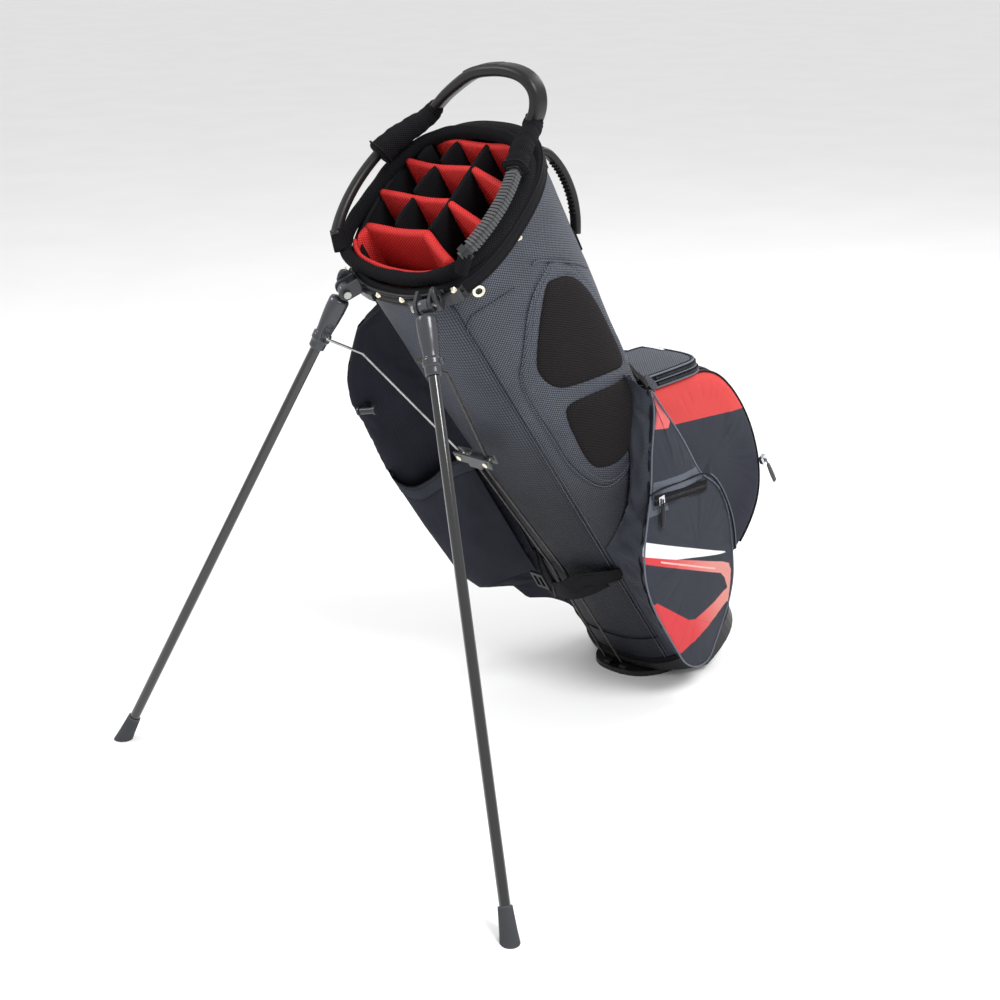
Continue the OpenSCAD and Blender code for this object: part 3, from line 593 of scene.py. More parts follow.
# name, colour, roughness, grain in mm, and its scale and wear where they differ
moulded = plastic("black_moulding", rgb(0.006, 0.006, 0.007), 0.42, 0.15)
arch_skin = plastic("handle_moulding", rgb(0.011, 0.010, 0.010), 0.38, 0.10, 1.6, 0.3, spec=0.3)
grey_plastic = plastic("grey_moulding", rgb(0.022, 0.024, 0.029), 0.34, 0.12, spec=0.5)
bracket_plastic = plastic("bracket_moulding", rgb(0.012, 0.013, 0.016), 0.32, 0.12, spec=0.45)
knuckle_plastic = plastic("knuckle_moulding", rgb(0.030, 0.032, 0.039), 0.26, 0.10, spec=0.6)
leg_paint = plastic("gloss_black_paint", rgb(0.006, 0.006, 0.007), 0.12, 0.01, 0.2, 0.1, coat=0.7, spec=0.45)
foot_rubber = plastic("foot_rubber", rgb(0.040, 0.042, 0.047), 0.75, 0.25)
grip_rubber = plastic("grip_rubber", rgb(0.030, 0.031, 0.034), 0.42, 0.12, 1.2, 0.5, spec=0.45)
wire_steel = metal("drawn_wire", rgb(0.42, 0.42, 0.41), 0.3)
dark_wire = metal("dark_wire", rgb(0.07, 0.065, 0.06), 0.32)
rivet_metal = metal("pale_rivets", rgb(0.86, 0.80, 0.62), 0.24)
chrome = metal("slider_plate", rgb(0.62, 0.63, 0.66), 0.18, 0.1)
gunmetal = metal("zip_teeth", rgb(0.05, 0.05, 0.055), 0.4, 0.15)

# the CAD pieces that stay as they are, by material
KEPT = (
    (black_mesh, ("collar", "base_pad")),
    (moulded, ("stand_yoke", "base_cup", "strap_buckle", "foot_plate")),
    (wire_steel, ("stays", "leg_pin_left", "leg_pin_right", "foot_plate_pin", "wire_left")),
    (dark_wire, ("push_rods", "wire_right")),
    (bracket_plastic, ("leg_bracket_left", "leg_bracket_right")),
    (grey_plastic, ("toggle", "leg_knuckle_left", "leg_knuckle_right", "rod_clip")),
    (rivet_metal, ("rivets", "grommet", "clip_rivets")),
    (leg_paint, ("leg_tube_left", "leg_tube_right")),
    (foot_rubber, ("leg_foot_left", "leg_foot_right")),
    (chrome, ("side_slider", "ball_slider")),
    (webbing, ("back_handle_anchors",)),
)
for mat, names in KEPT:
    for name in names:
        data = nodes[name].data
        data.materials.clear()
        data.materials.append(mat)

# ---------------------------------------------------------------- camera, floor, light

def place_camera():
    """The camera's place: azimuth, height angle and roll, the point aimed at and how far off."""
    az, el, roll = math.radians(44.58), math.radians(19.63), math.radians(-1.64)
    target, far = Vector((-0.0626, -0.2119, 0.3174)), 2.5631
    back = Vector((math.sin(az) * math.cos(el), -math.cos(az) * math.cos(el), math.sin(el)))
    right = (-back).cross(Vector((0, 0, 1))).normalized()
    up = right.cross(-back)
    right, up = right * math.cos(roll) + up * math.sin(roll), up * math.cos(roll) - right * math.sin(roll)
    data = bpy.data.cameras.new("camera")
    data.lens, data.sensor_width = 63.36, 36.0
    data.clip_end = 50
    cam = bpy.data.objects.new("camera", data)
    rot = Matrix((right, up, back)).transposed().to_4x4()
    cam.matrix_world = Matrix.Translation(target + back * far) @ rot
    bpy.context.scene.collection.objects.link(cam)
    bpy.context.scene.camera = cam


def area_light(name, at, aim, size, power):
    data = bpy.data.lights.new(name, "AREA")
    data.shape, data.size, data.energy = "DISK", size, power
    o = bpy.data.objects.new(name, data)
    o.location = at
    o.rotation_euler = (Vector(aim) - Vector(at)).to_track_quat("-Z", "Y").to_euler()
    bpy.context.scene.collection.objects.link(o)


def build_stage():
    """A pale floor that runs into a white background, under three soft lamps."""
    me = bpy.data.meshes.new("floor")
    bm = bmesh.new()
    bmesh.ops.create_grid(bm, x_segments=2, y_segments=2, size=45)
    bm.to_mesh(me)
    bm.free()
    s = Shader("pale_floor")
    n = s.noise(s.node("ShaderNodeTexCoord").outputs["Object"], 3.0, 3.0)
    tone = s.mix(s.ramp(n, 0.3, 0.7), rgb(0.86, 0.86, 0.86), rgb(0.88, 0.88, 0.88))
    me.materials.append(s.finish(tone, 0.9))
    floor = bpy.data.objects.new("floor", me)
    bpy.context.scene.collection.objects.link(floor)
    world = bpy.data.worlds.new("studio")
    bpy.context.scene.world = world
    world.use_nodes = True
    sky = world.node_tree.nodes["Background"]
    sky.inputs[0].default_value = (1, 1, 1, 1)
    sky.inputs[1].default_value = 0.85
    area_light("key", (2.3, -0.6, 2.9), (0, -0.2, 0.45), 1.3, 85)
    area_light("left", (-2.2, -2.4, 2.4), (0, -0.2, 0.45), 1.0, 38)
    area_light("rear", (0.4, 2.4, 2.6), (0, -0.1, 0.5), 1.4, 40)


place_camera()
build_stage()
bpy.context.scene.view_settings.view_transform = "Standard"

# ---------------------------------------------------------------- outlines in the side view (y, z)

PAD_UPPER = [(-4, 766), (17, 757), (40, 741), (57, 714), (69, 676), (74, 620), (75, 560), (66, 548),
             (30, 572), (-30, 606), (-56, 622), (-68, 650), (-67, 678), (-43, 720)]
PAD_LOWER = [(-62, 579), (-50, 592), (-3, 569), (70, 530), (76, 516), (66, 480), (34, 456), (-14, 444),
             (-48, 459), (-62, 478), (-64, 522)]
BAND_FRONT = [(-24, 772), (-52, 746), (-79, 693), (-91, 668), (-91, 612), (-86, 556), (-84, 494), (-66, 436),
              (-40, 420)]
FRAME_LINE = [(18, 782)] + BAND_FRONT + [(20, 432)]
BAND = [(30, 790)] + BAND_FRONT + [(30, 420), (80, 440), (96, 560), (70, 700)]

PANEL_FOOT, PANEL_DROP, PANEL_THICK = 46.4, 24, 2.6  # foot's height, edge below the rim, thickness
SEAM_FRONT, SEAM_REAR, SEAM_GAP = 78.0, 70.0, 0.003  # the seams' x; half a gap between panels, radians


def front(z):
    """Plan angle of the front seam at a height."""
    return np.arctan2(SEAM_FRONT, front_y(SEAM_FRONT, z))


def rear(z):
    """Plan angle of the rear seam at a height."""
    return np.arctan2(SEAM_REAR, -front_y(SEAM_REAR, z))


def body_panel(name, cad, mat, a_lo, a_hi, hollow, nu=60, nv=150):
    """A fabric panel of the tube between two seams, with its thickness turned in at every edge."""
    t = np.linspace(0, 1, nv)[None]
    s = np.linspace(0, 1, nu)[:, None]
    z = PANEL_FOOT + t * 820 + 0 * s
    for _ in range(3):
        lo, hi = a_lo(z), a_hi(z)
        a = lo + s * (hi - lo)
        top = TOP + skin(a, z)[..., 1] * math.tan(SLANT) - PANEL_DROP
        z = PANEL_FOOT + t * (top - PANEL_FOOT)
    P = skin(a, z)
    width = np.linalg.norm(P[1:] - P[:-1], axis=-1).sum(0)[None]
    from_seam = np.minimum(s, 1 - s) * width
    outer = skin(a, z, hollow(P, from_seam))
    inner = skin(a, z, -PANEL_THICK)
    both = np.concatenate([outer, inner[::-1]], 0)
    U = np.concatenate([s * width, 2 * width + s * width], 0) + 0 * np.concatenate([z, z])
    V = np.concatenate([z, z[::-1]], 0)
    U = np.vstack([U, U[:1]])
    V = np.vstack([V, V[:1]])
    o = grid(name, both, mat, wrap_u=True, uv=(U, V))
    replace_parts(o, cad)
    return o


def plain_hollow(amount, seed):
    """Loose cloth: shallow ripples, drawn in along the seams."""
    def f(P, d):
        return amount * ripple(P, 70, seed) - 1.3 * np.exp(-(d / 4.5) ** 2) + 0.35 * ripple(P, 24, seed + 1)
    return f


def step(x, lo, hi):
    """0 below lo rising smoothly to 1 above hi."""
    t = np.clip((x - lo) / (hi - lo), 0, 1)
    return t * t * (3 - 2 * t)


def side_hollow(P, d):
    """The right panel: a raised band framing the hip pads, and a groove around the band."""
    yz = P[..., 1:]
    e = inset_distance(yz, smooth(BAND, 160, True))
    raised = 1.9 * step(e, 0, 5) - 1.2 * np.exp(-((e + 1.5) / 2.2) ** 2)
    for pad in (PAD_UPPER, PAD_LOWER):
        g = inset_distance(yz, smooth(pad, 120, True, 2))
        raised = raised - 2.2 * step(g, -4, 1)
    return plain_hollow(0.7, 2.0)(P, d) + raised


body_panel("body_front", "front_panel", front_cloth, lambda z: -front(z), front, plain_hollow(0.9, 0.4))
body_panel("body_side_right", "side_panel_right", slate_side, lambda z: front(z) + SEAM_GAP,
           lambda z: rear(z) - SEAM_GAP, side_hollow, 90, 300)
body_panel("body_side_left", "side_panel_left", navy, lambda z: -rear(z) + SEAM_GAP,
           lambda z: -front(z) - SEAM_GAP, plain_hollow(0.9, 4.0))
body_panel("body_spine", "spine_panel", slate_side, rear, lambda z: 2 * PI - rear(z), plain_hollow(0.8, 5.0))

for side, tag, cloth, sewing in ((1, "right", slate, thread), (-1, "left", dark_piping, dark_thread)):
    z = np.linspace(48, 815, 90)
    p = skin(side * front(z), z, 0.2)
    tube("seam_front_" + tag, p, 1.0, cloth)
    stitches("seam_stitch_" + tag, skin(side * (front(z) + 0.045), z, 0.2), p * (1, 1, 0), sewing)
    z = np.linspace(48, 880, 90)
    tube("seam_rear_" + tag, skin(side * rear(z), z, 0.2), 1.4, dark_piping)

tube("frame_piping", skin_line(FRAME_LINE, 0.6, 150)[0], 1.1, slate)
inset_line = [(y + 7 if y < 0 else y, z - (6 if z > 600 else -6)) for y, z in FRAME_LINE]
line, nor = skin_line(inset_line, 2.0, 150)
stitches("frame_stitch", line, nor, thread)
YOKE_ARC = [(-10, 803), (3, 800), (41, 763), (61, 743), (89, 707)]
tube("yoke_arc_piping", skin_line(YOKE_ARC, 0.8, 60)[0], 1.5, slate)
MITRE = [(-112, 772), (-107, 791), (-92, 797), (-65, 797), (-46, 795)]
tube("mitre_piping", skin_line(MITRE, 0.7, 50)[0], 1.2, slate)


# ---------------------------------------------------------------- padded pieces

def hip_pad(name, cad, outline, seed, high=6.5, rings=16, spokes=140, sag=0.5):
    """A crowned pad on the tube's right side, from its outline in the side view."""
    edge = smooth(outline, spokes, True, 2)
    c = edge.mean(0)

    def layer(r, lift):
        yz = c + r[:, None, None] * (edge - c)
        return np.stack([side_x(yz[..., 0], yz[..., 1], -0.5) + lift, yz[..., 0], yz[..., 1]], -1)

    r = np.linspace(1, 0.002, rings) ** 0.7
    h = high * (1 - r ** 5.0)[:, None] ** 0.5 * np.ones((1, spokes))
    flat = c + r[:, None, None] * (edge - c)
    flat = np.stack([0 * flat[..., 0], flat[..., 0], flat[..., 1]], -1)
    h = h + sag * ripple(flat, 45, seed) * (1 - r ** 3)[:, None]
    back = layer(np.linspace(1, 0.002, 4)[1:], -1.5)[::-1]
    P = np.concatenate([back, layer(np.ones(1), -1.5), layer(r, h)], 0)
    uv = (np.concatenate([P[..., 1], P[:, :1, 1]], 1), np.concatenate([P[..., 2], P[:, :1, 2]], 1))
    o = grid(name, P, pad_mesh, wrap_v=True, cap=True, uv=uv)
    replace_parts(o, cad)


hip_pad("hip_pad_upper_soft", "hip_pad_upper", PAD_UPPER, 0.0)
hip_pad("hip_pad_lower_soft", "hip_pad_lower", PAD_LOWER, 2.0)

# ---------------------------------------------------------------- rim, binding, dividers

ring_a = np.linspace(0, 2 * PI, 180, endpoint=False)


def rim_oval(a, ux, vy):
    """A super-ellipse on the rim plane."""
    k = (np.abs(np.sin(a) / ux) ** POWER + np.abs(np.cos(a) / vy) ** POWER) ** (-1 / POWER)
    return k * np.sin(a), -k * np.cos(a)


def mouth(a, inset):
    """The roll's centre line on the rim plane moved inwards; it is pulled out at the left front."""
    u, v = rim_oval(a, 127.5 - inset, 116.5 - inset)
    wrapped = (np.asarray(a) + PI) % (2 * PI) - PI
    pull = 1 + 13 * np.exp(-((wrapped + 0.98) / 0.36) ** 2) / np.hypot(u, v)
    return -2.0 + u * pull, -4.0 + v * pull


def build_rim():
    """The padded roll round the mouth, and the binding with its piping below it."""
    P = []
    for b in np.linspace(0, 2 * PI, 24, endpoint=False):
        c, n = math.cos(b), math.sin(b)
        so, sh = 8.0 * math.copysign(abs(c) ** 0.8, c), 10.0 * math.copysign(abs(n) ** 0.85, n)
        swell = 1 + 0.05 * np.sin(9 * ring_a + 1) + 0.03 * np.sin(23 * ring_a)
        u, v = mouth(ring_a, -so * swell)
        P.append(rim(u, v, sh * swell))
    o = grid("rim_roll", np.stack(P, 1), black_mesh, wrap_u=True, wrap_v=True)
    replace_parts(o, "rim_padding")

    def ring(out, drop):
        p = skin(ring_a, TOP - drop + 0 * ring_a, out)
        p[:, 2] = TOP + p[:, 1] * math.tan(SLANT) - drop
        return skin(ring_a, p[:, 2], out)

    back = np.maximum(0, -np.cos(ring_a)) ** 2
    band = [ring(-6 - 14 * back, 5), ring(-3 - 4 * back, 6.5), ring(2.6, 8.5), ring(4.2, 11.5), ring(4.2, 18),
            ring(3.6, 25), ring(2.4, 28), ring(-1.4, 28.5), ring(-1.4, 20)]
    o = grid("rim_binding", np.stack(band, 1), binding, wrap_u=True, wrap_v=True)
    tube("rim_piping_upper", ring(4.0, 10.5), 1.3, dark_piping, closed=True)
    tube("rim_piping_lower", ring(2.6, 28.0), 1.3, dark_piping, closed=True)


LINER = 7.0  # the walls end this far inside the tube's surface


def cell_wall(name, a, b, thick, mat, dip, depth=88.0, seed=0.0):
    """A padded divider: rounded top edge that sags a little between its ends."""
    a = np.array([a[0], a[1] * math.cos(SLANT)])
    b = np.array([b[0], b[1] * math.cos(SLANT)])
    d = (b - a) / np.linalg.norm(b - a)
    n = np.array([-d[1], d[0]])
    long = np.linalg.norm(b - a)
    t = np.linspace(0, 1, max(8, int(long / 4)))
    half = thick / 2
    wall = [(half, -depth), (half * 1.05, -depth * 0.6), (half * 1.1, -depth * 0.3),
            (half * 1.05, -half * 1.6)]
    prof = [(-w, h) for w, h in wall]
    prof += [(-half * math.cos(q) * 1.02, -half + half * math.sin(q)) for q in np.linspace(0, PI, 9)]
    prof += wall[::-1]
    P = []
    for k in t:
        c = a + d * long * k
        lift = -dip * math.sin(PI * k) + 0.6 * math.sin(7 * k + seed)
        top = TOP + c[1] * math.tan(SLANT) - 1.0 + lift
        row = []
        for o, h in prof:
            bow = 0.5 * math.sin(5 * k + 0.05 * h + seed)
            q = c + n * (o + bow)
            row.append((q[0], q[1], top + h))
        P.append(row)
    P = pull_in(P, -LINER)
    cum = np.concatenate([[0], np.cumsum([math.dist(p, q) for p, q in zip(prof, prof[1:])])])
    U, V = np.meshgrid(t * long, np.append(cum, cum[-1] + thick), indexing="ij")
    return grid(name, P, mat, wrap_v=True, cap=True, uv=(U, V))


def to_oval(a, b):
    """Moves b along the line from a until it meets the inside of the roll."""
    a, b = np.array(a, float), np.array(b, float)
    for k in np.linspace(0, 1.6, 400):
        p = a + (b - a) * k
        if abs((p[0] + 2) / 119.5) ** POWER + abs((p[1] + 4) / 108.0) ** POWER > 1:
            return tuple(p)
    return tuple(b)


def build_dividers():
    """The walls that part the mouth into cells, and the red lining of its wells."""
    for name, cad, a, b in (("wall_rear", "rear_divider", (-88, 101), (58, 101)),
                            ("wall_upper", "upper_divider", to_oval((0, 59), (-140, 59)), (10, 59)),
                            ("wall_lower", "lower_divider", to_oval((0, 6), (-140, 6)), (6, 6))):
        o = cell_wall(name, a, b, 10.0, red_mesh, 3.5, seed=b[1])
        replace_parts(o, cad)
    shorts = []
    for tag, a, b in (("front", (-56, -43), (-56, 1)), ("middle", (-60, 11), (-51, 54)),
                      ("rear", (-47, 64), (-38, 96)), ("corner", (-93, 64), (-80, 86))):
        o = cell_wall("wall_short_" + tag, a, b, 6.5, black_mesh, -3.0, seed=len(shorts))
        shorts.append(o)
    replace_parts(shorts[0], "short_dividers")
    o = cell_wall("wall_long", (5, -40), (14, 97), 7.0, black_mesh, 1.0, seed=3)
    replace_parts(o, "long_divider")
    sides = []
    for tag, a, b in (("low", (12, 4), (150, -42)), ("high", (16, 60), (150, 20))):
        o = cell_wall("wall_side_" + tag, a, to_oval(a, b), 10.0, red_mesh, 3.0, seed=5)
        sides.append(o)
    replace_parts(sides[0], "side_well_liner")
    o = cell_wall("well_back", (-107, -50), (4, -46), 13.0, red_mesh, 2.0, seed=1)
    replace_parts(o, "well_liner")
    cell_wall("well_right", (1, -46), (68, -81), 13.0, red_mesh, 1.5, seed=2)
    cell_wall("well_left", (-106, -50), (-117, -86), 12.0, red_mesh, 1.0, seed=4)
    # lining of the front well and of the right-hand cell, rolled over at the top
    roll_over = ((0.5, 70), (0.5, 40), (0.5, 14), (-0.5, 7), (0.5, 4), (3.0, 2.5), (5.5, 4), (6.5, 8),
                 (6.0, 16), (5.0, 40), (4.0, 70))
    for name, a0, a1 in (("well_lining", -1.0, 0.74), ("side_lining", 1.34, 1.84)):
        a = np.linspace(a0, a1, 60)
        rows = []
        for inn, drop in roll_over:
            u, v = mouth(a, 9.5 + inn)
            p = rim(u, v, 0)
            rows.append(np.stack([p[:, 0], p[:, 1], p[:, 2] - drop + 2.0], 1))
        grid(name, np.stack(rows, 1), red_mesh, wrap_v=True, cap=True)


build_rim()
build_dividers()


# ---------------------------------------------------------------- handles

ARCH_BACK, ARCH_HIGH = 118.0, 912.0  # where the arch's plane stands
ARCH_TILT = math.radians(25)  # of the arch, tipped back
ARCH_LEFT, ARCH_RIGHT = (-95.6, 10.3), (86, 8)  # where the sleeves close on its legs


def arch_point(x, h, back=0.0):
    """A point of the tipped-back arch: x across, h up its plane."""
    x, h, back = np.broadcast_arrays(np.asarray(x, float), h, back)
    s, c = math.sin(ARCH_TILT), math.cos(ARCH_TILT)
    return np.stack([x, ARCH_BACK + h * s + back * c, ARCH_HIGH + h * c - back * s], -1)


ARCH = [(-103, 0), (-95.6, 10.3), (-82, 22), (-65, 35), (-44, 48), (-18, 62.5), (2, 69), (22, 72),
        (44, 73.5), (64, 72), (80, 67.5), (91, 60), (98, 50), (99.5, 38), (96.5, 24.6), (90, 13), (84, 5),
        (79, -2)]


def build_arch():
    """The top handle: a lopsided arch with low plain grip ridges along its crest."""
    path = smooth(np.array(ARCH, float), 120, rounds=2)
    pts = arch_point(path[:, 0], path[:, 1])
    normal = arch_point(0, 0, 1) - arch_point(0, 0, 0)
    size = np.interp(path[:, 0], (-100, -40, 20, 90), (0.82, 0.95, 1.02, 1.05))
    o = sweep("top_handle_arch", pts, round_box(15.5, 23, 6, 6), arch_skin, up=normal, size=size)
    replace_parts(o, "top_handle")
    crest = resample(path[(path[:, 0] > -20) & (path[:, 0] < 40) & (path[:, 1] > 40)], 24)
    tan = np.gradient(crest, axis=0)
    tan /= np.linalg.norm(tan, axis=1)[:, None]
    places = []
    for (x, y), (tx, ty) in zip(crest, tan):
        nx, ny = (-ty, tx) if tx > 0 else (ty, -tx)
        c = arch_point(x + nx * 7.7, y + ny * 7.7)
        along, out = (arch_point(*d) - arch_point(0, 0) for d in ((tx, ty), (nx, ny)))
        places.append((c, along * 0.7, out * 0.6, normal * 7.5))
    blocks("arch_ridges", places, arch_skin)


BOW_R, BOW_TILT = 179, 0.0524  # the side handles' radius, and how steeply they rise to the rear


def bow_path(a0=-25.0, a1=22.0, n=60):
    """The side handle's centre line: an arc above the roll."""
    a = np.radians(np.linspace(a0, a1, n))
    rise = BOW_R * np.sin(a + math.radians(25)) * math.sin(BOW_TILT)
    return -46 + BOW_R * np.cos(a), -14 + BOW_R * np.sin(a), 25 + rise


RIM_UP = rim(0, 0, 1) - rim(0, 0, 0)


def bow_frame(*span):
    """Points and directions along a stretch of the right handle."""
    q = rim(*bow_path(*span))
    return q, *frames_along(q, up=RIM_UP)


def grip_details():
    """Ribs on top of the right-hand grip and on both its sides, and a cap at each end."""
    q, t, sd, tp = bow_frame(-19, 15, 24)
    t = t + 0.45 * sd
    top = [(p + tp[i] * 6.0, sd[i] * 6.9, tp[i] * 2.2, t[i] * 1.5) for i, p in enumerate(q)]
    blocks("grip_ribs", top, grip_rubber)
    flank = [(p + sd[i] * k * 6.7, tp[i] * 5.2, sd[i] * 1.5, t[i] * 1.5)
             for i, p in enumerate(q) for k in (-1, 1)]
    blocks("grip_side_ribs", flank, grip_rubber)
    caps = []
    for a in (-22.5, 18.5):
        q, t, sd, tp = bow_frame(a - 1.2, a + 1.2, 3)
        caps.append((q[1], sd[1] * 9.2, tp[1] * 8.6, t[1] * 4.5))
    blocks("grip_end_caps", caps, moulded)


def handle_sleeve(tag, way, wide):
    """A gathered fabric sleeve from the handle's rear end up round the arch's foot, hemmed at both ends."""
    way = smooth(np.array(way), 64, rounds=3)
    k = np.linspace(0, 1, 64)
    size = np.interp(k, (0, 0.3, 0.7, 1), wide) + 0.035 * np.sin(24 * k) + 0.025 * np.sin(51 * k)
    size[:2] *= (0.86, 0.97)
    size[-2:] *= (0.97, 0.86)
    o = sweep("sleeve_" + tag, way, round_box(25, 22, 9, 6), black_mesh, up=RIM_UP, size=size)
    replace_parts(o, "handle_sleeve_" + tag)
    _, sd, tp = frames_along(way, up=RIM_UP)
    for k, end in ((3, "low"), (60, "high")):
        ring = round_box(26.0 * size[k], 23.0 * size[k], 9, 6)
        hoop = way[k] + ring[:, :1] * sd[k] + ring[:, 1:] * tp[k]
        tube("sleeve_hem_%s_%s" % (tag, end), hoop, 0.9, dark_piping, closed=True)


SLEEVE_RIGHT = [rim(123.5, 40, 31), rim(119, 56, 31), rim(110, 78, 28), rim(101, 98, 22), rim(93, 115, 15),
                arch_point(*ARCH_RIGHT), arch_point(92, 17)]
SLEEVE_LEFT = [rim(-123, 38, 31), rim(-117, 56, 31), rim(-108, 78, 28), rim(-101, 98, 23), rim(-98, 114, 17),
               arch_point(*ARCH_LEFT), arch_point(-85, 19.5)]


def build_side_handles():
    """Both side handles, each with its sleeve and the tab that ties its front end to the roll."""
    for side, tag, mat, slot, way, wide in (
            (1, "right", grip_rubber, "grip_rubber", SLEEVE_RIGHT, (1.18, 1.12, 1.02, 0.98)),
            (-1, "left", arch_skin, "black_plastic", SLEEVE_LEFT, (1.42, 1.3, 1.08, 0.86))):
        u, v, h = bow_path()
        o = sweep("side_handle_" + tag, rim(side * u, v, h), round_box(14, 13, 5.5, 5), mat, up=RIM_UP)
        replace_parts(o, tag + "_handle")
        if side > 0:
            grip_details()
        handle_sleeve(tag, way, wide)
        u, v, h = bow_path(-29, -22, 14)
        h = h - np.linspace(17, 0, 14)
        tab = rim(side * u, v, h)
        sweep("handle_tab_" + tag, tab, round_box(19, 15, 6, 5), black_mesh, up=RIM_UP)


def build_back_handle():
    """The upright carry loop behind, with ribs on its outer side."""
    path = smooth([(62, 131, 866), (62, 143, 852), (62, 152, 816), (62, 150, 776), (62, 139, 746),
                   (62, 127, 728)], 70)
    up = (0, 1, 0.02)
    o = sweep("back_handle_loop", path, round_box(15, 11, 4.6, 5), arch_skin, up=up)
    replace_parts(o, "back_handle")
    t, sd, tp = frames_along(path, up=up)
    places = [(path[i] - tp[i] * 5.4, sd[i] * 5.2, tp[i] * 1.5, t[i] * 1.0) for i in range(16, 56, 3)]
    blocks("back_handle_ribs", places, moulded)


build_arch()
build_side_handles()
build_back_handle()


# ---------------------------------------------------------------- pockets

CLOTH_MM = 0.6  # stuffed cloth stays at least this far off the tube


def vectors(me, what):
    """A mesh's vertex coordinates or normals."""
    a = np.empty(len(me.vertices) * 3)
    me.vertices.foreach_get(what, a)
    return a.reshape(-1, 3)


def puff(o, cap, hold, frames=18):
    """Stuffs a pocket with a short cloth simulation; its result stays in the mesh.

    cap gives how far each point may move, in mm, and hold how firmly the seams keep it, 0 to 1.
    """
    me = o.data
    start = vectors(me, "co")
    local = unground(start)
    me.vertices.foreach_set("co", (start - vectors(me, "normal") * 0.0015).ravel())
    group = o.vertex_groups.new(name="held")
    held = hold(local)
    for k in np.nonzero(held > 0)[0]:
        group.add([int(k)], float(held[k]), "REPLACE")
    m = o.modifiers.new("stuffing", "CLOTH")
    cs = m.settings
    cs.quality = 4
    cs.mass = 0.25
    cs.use_pressure = True
    cs.uniform_pressure_force = 4.0
    cs.tension_stiffness = cs.compression_stiffness = 12
    cs.shear_stiffness = 6
    cs.bending_stiffness = 0.6
    cs.shrink_min = -0.03
    cs.effector_weights.gravity = 0
    cs.vertex_group_mass = "held"
    m.collision_settings.use_collision = False
    m.point_cache.frame_start = 1
    m.point_cache.frame_end = frames
    scene = bpy.context.scene
    for f in range(1, frames + 1):
        scene.frame_set(f)
    end = vectors(o.evaluated_get(bpy.context.evaluated_depsgraph_get()).data, "co")
    o.modifiers.remove(m)
    o.vertex_groups.remove(group)
    scene.frame_set(1)
    move = end - start
    move[~np.isfinite(move).all(1)] = 0
    long = np.linalg.norm(move, axis=1)
    move *= np.minimum(1, cap(local) / 1000 / np.maximum(long, 1e-9))[:, None]
    me.vertices.foreach_set("co", ground(push_out(unground(start + move), CLOTH_MM)).ravel())
    me.update()


def pocket(name, cad, loops, mat):
    """A closed pocket from loops of points, first and last loops closed with a cap."""
    P = np.stack(loops, 0)
    U = np.concatenate([P[..., 1], P[:, :1, 1]], 1)
    V = np.concatenate([P[..., 2], P[:, :1, 2]], 1)
    o = grid(name, P, mat, wrap_v=True, cap=True, uv=(U, V))
    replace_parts(o, cad)
    return o


FACE = [(56, 528), (52, 500), (28, 468), (8, 446), (-6, 426), (-33, 388), (-58, 362), (-86, 329),
        (-105, 290), (-113, 240), (-112, 190), (-110, 140), (-107, 108), (-92, 78), (-64, 60), (-36, 76),
        (-8, 92), (18, 110), (42, 136), (58, 165), (70, 192), (82, 222), (90, 256), (91, 286), (83, 312),
        (73, 332), (69, 352), (68, 384), (67, 412), (64, 450), (60, 490)]
FACE_X = 163.4  # the right pocket's face, where it stands furthest out
CHEVRON = ([(-100, 330), (20, 176), (32, 189), (-96, 336)],
           [(20, 176), (26, 156), (43, 154), (44, 171), (32, 189)],
           [(24, 137), (34, 139), (43, 155), (25, 157)],
           [(10, 120), (15, 111), (34, 139), (24, 138)],
           [(-36, 123), (10, 116), (16, 119), (24, 137), (-60, 161)],
           [(-84, 129), (-36, 123), (-60, 161)],
           [(-118, 134), (-84, 129), (-60, 161), (-71, 172)],
           [(-122, 250), (-118, 134), (-71, 172), (-104, 247)])


def face_paint(s, base, h):
    """The pocket's front: slate strips, a white taper and a coral taper that turns back into a chevron."""
    y, z = s.bag_yz()
    x = s.node("ShaderNodeSeparateXYZ", {0: s.place_mm()}).outputs[0]
    # the strips' thread tops lighter than their hollows: partly their own tones, partly a painted highlight
    # on the tops and painted shade in the hollows
    slate_c = s.mix(s.ramp(h, 0.1, 0.9), rgb(0.05, 0.056, 0.070), rgb(0.14, 0.155, 0.19))
    c = s.mix(s.convex(y, z, [(-28, 389), (74, 330), (76, 352), (-14, 408)]), base, slate_c)
    strip = [(-52, 372), (-39, 366), (-15, 354), (-8, 373), (-26, 388), (-44, 392)]
    c = s.mix(s.convex(y, z, strip), c, slate_c)
    tip = [(20, 478), (52, 452), (72, 462), (72, 560), (20, 560)]
    c = s.mix(s.convex(y, z, tip), c, rgb(0.58, 0.12, 0.12))
    c = s.mix(s.convex(y, z, [(-88, 320), (46, 193), (46, 196), (-78, 352)]), c, WHITE)
    coral = s.mix(s.ramp(y, -80.0, 30.0), rgb(0.56, 0.055, 0.062), rgb(0.60, 0.25, 0.22))
    mask = s.convex(y, z, [(-100, 330), (20, 176), (32, 180), (32, 189), (-94, 338)])
    for part in CHEVRON:
        mask = s.m("MAXIMUM", mask, s.convex(y, z, part))
    left = s.ramp(y, -62.0, -80.0)
    pale = s.mix(left, coral, rgb(0.56, 0.055, 0.062))
    c = s.mix(mask, c, pale)
    fine_line = [(-68, 297), (13, 193), (14, 195), (-67, 300)]
    c = s.mix(s.convex(y, z, fine_line, 0.4), c, rgb(0.78, 0.42, 0.40))
    return s.mix(s.ramp(x, 155.0, 157.5), base, c)


face_cloth = fabric("pocket_cloth", GREY_LO, GREY_HI, "twill", 1.7, 0.2, 0.62, 0.15, paint=face_paint)


def face_x(z):
    """How far out the right pocket's face stands at a height."""
    return FACE_X - 5 * step(z, 400, 520) - 4.5 * step(-z, -150, -60)


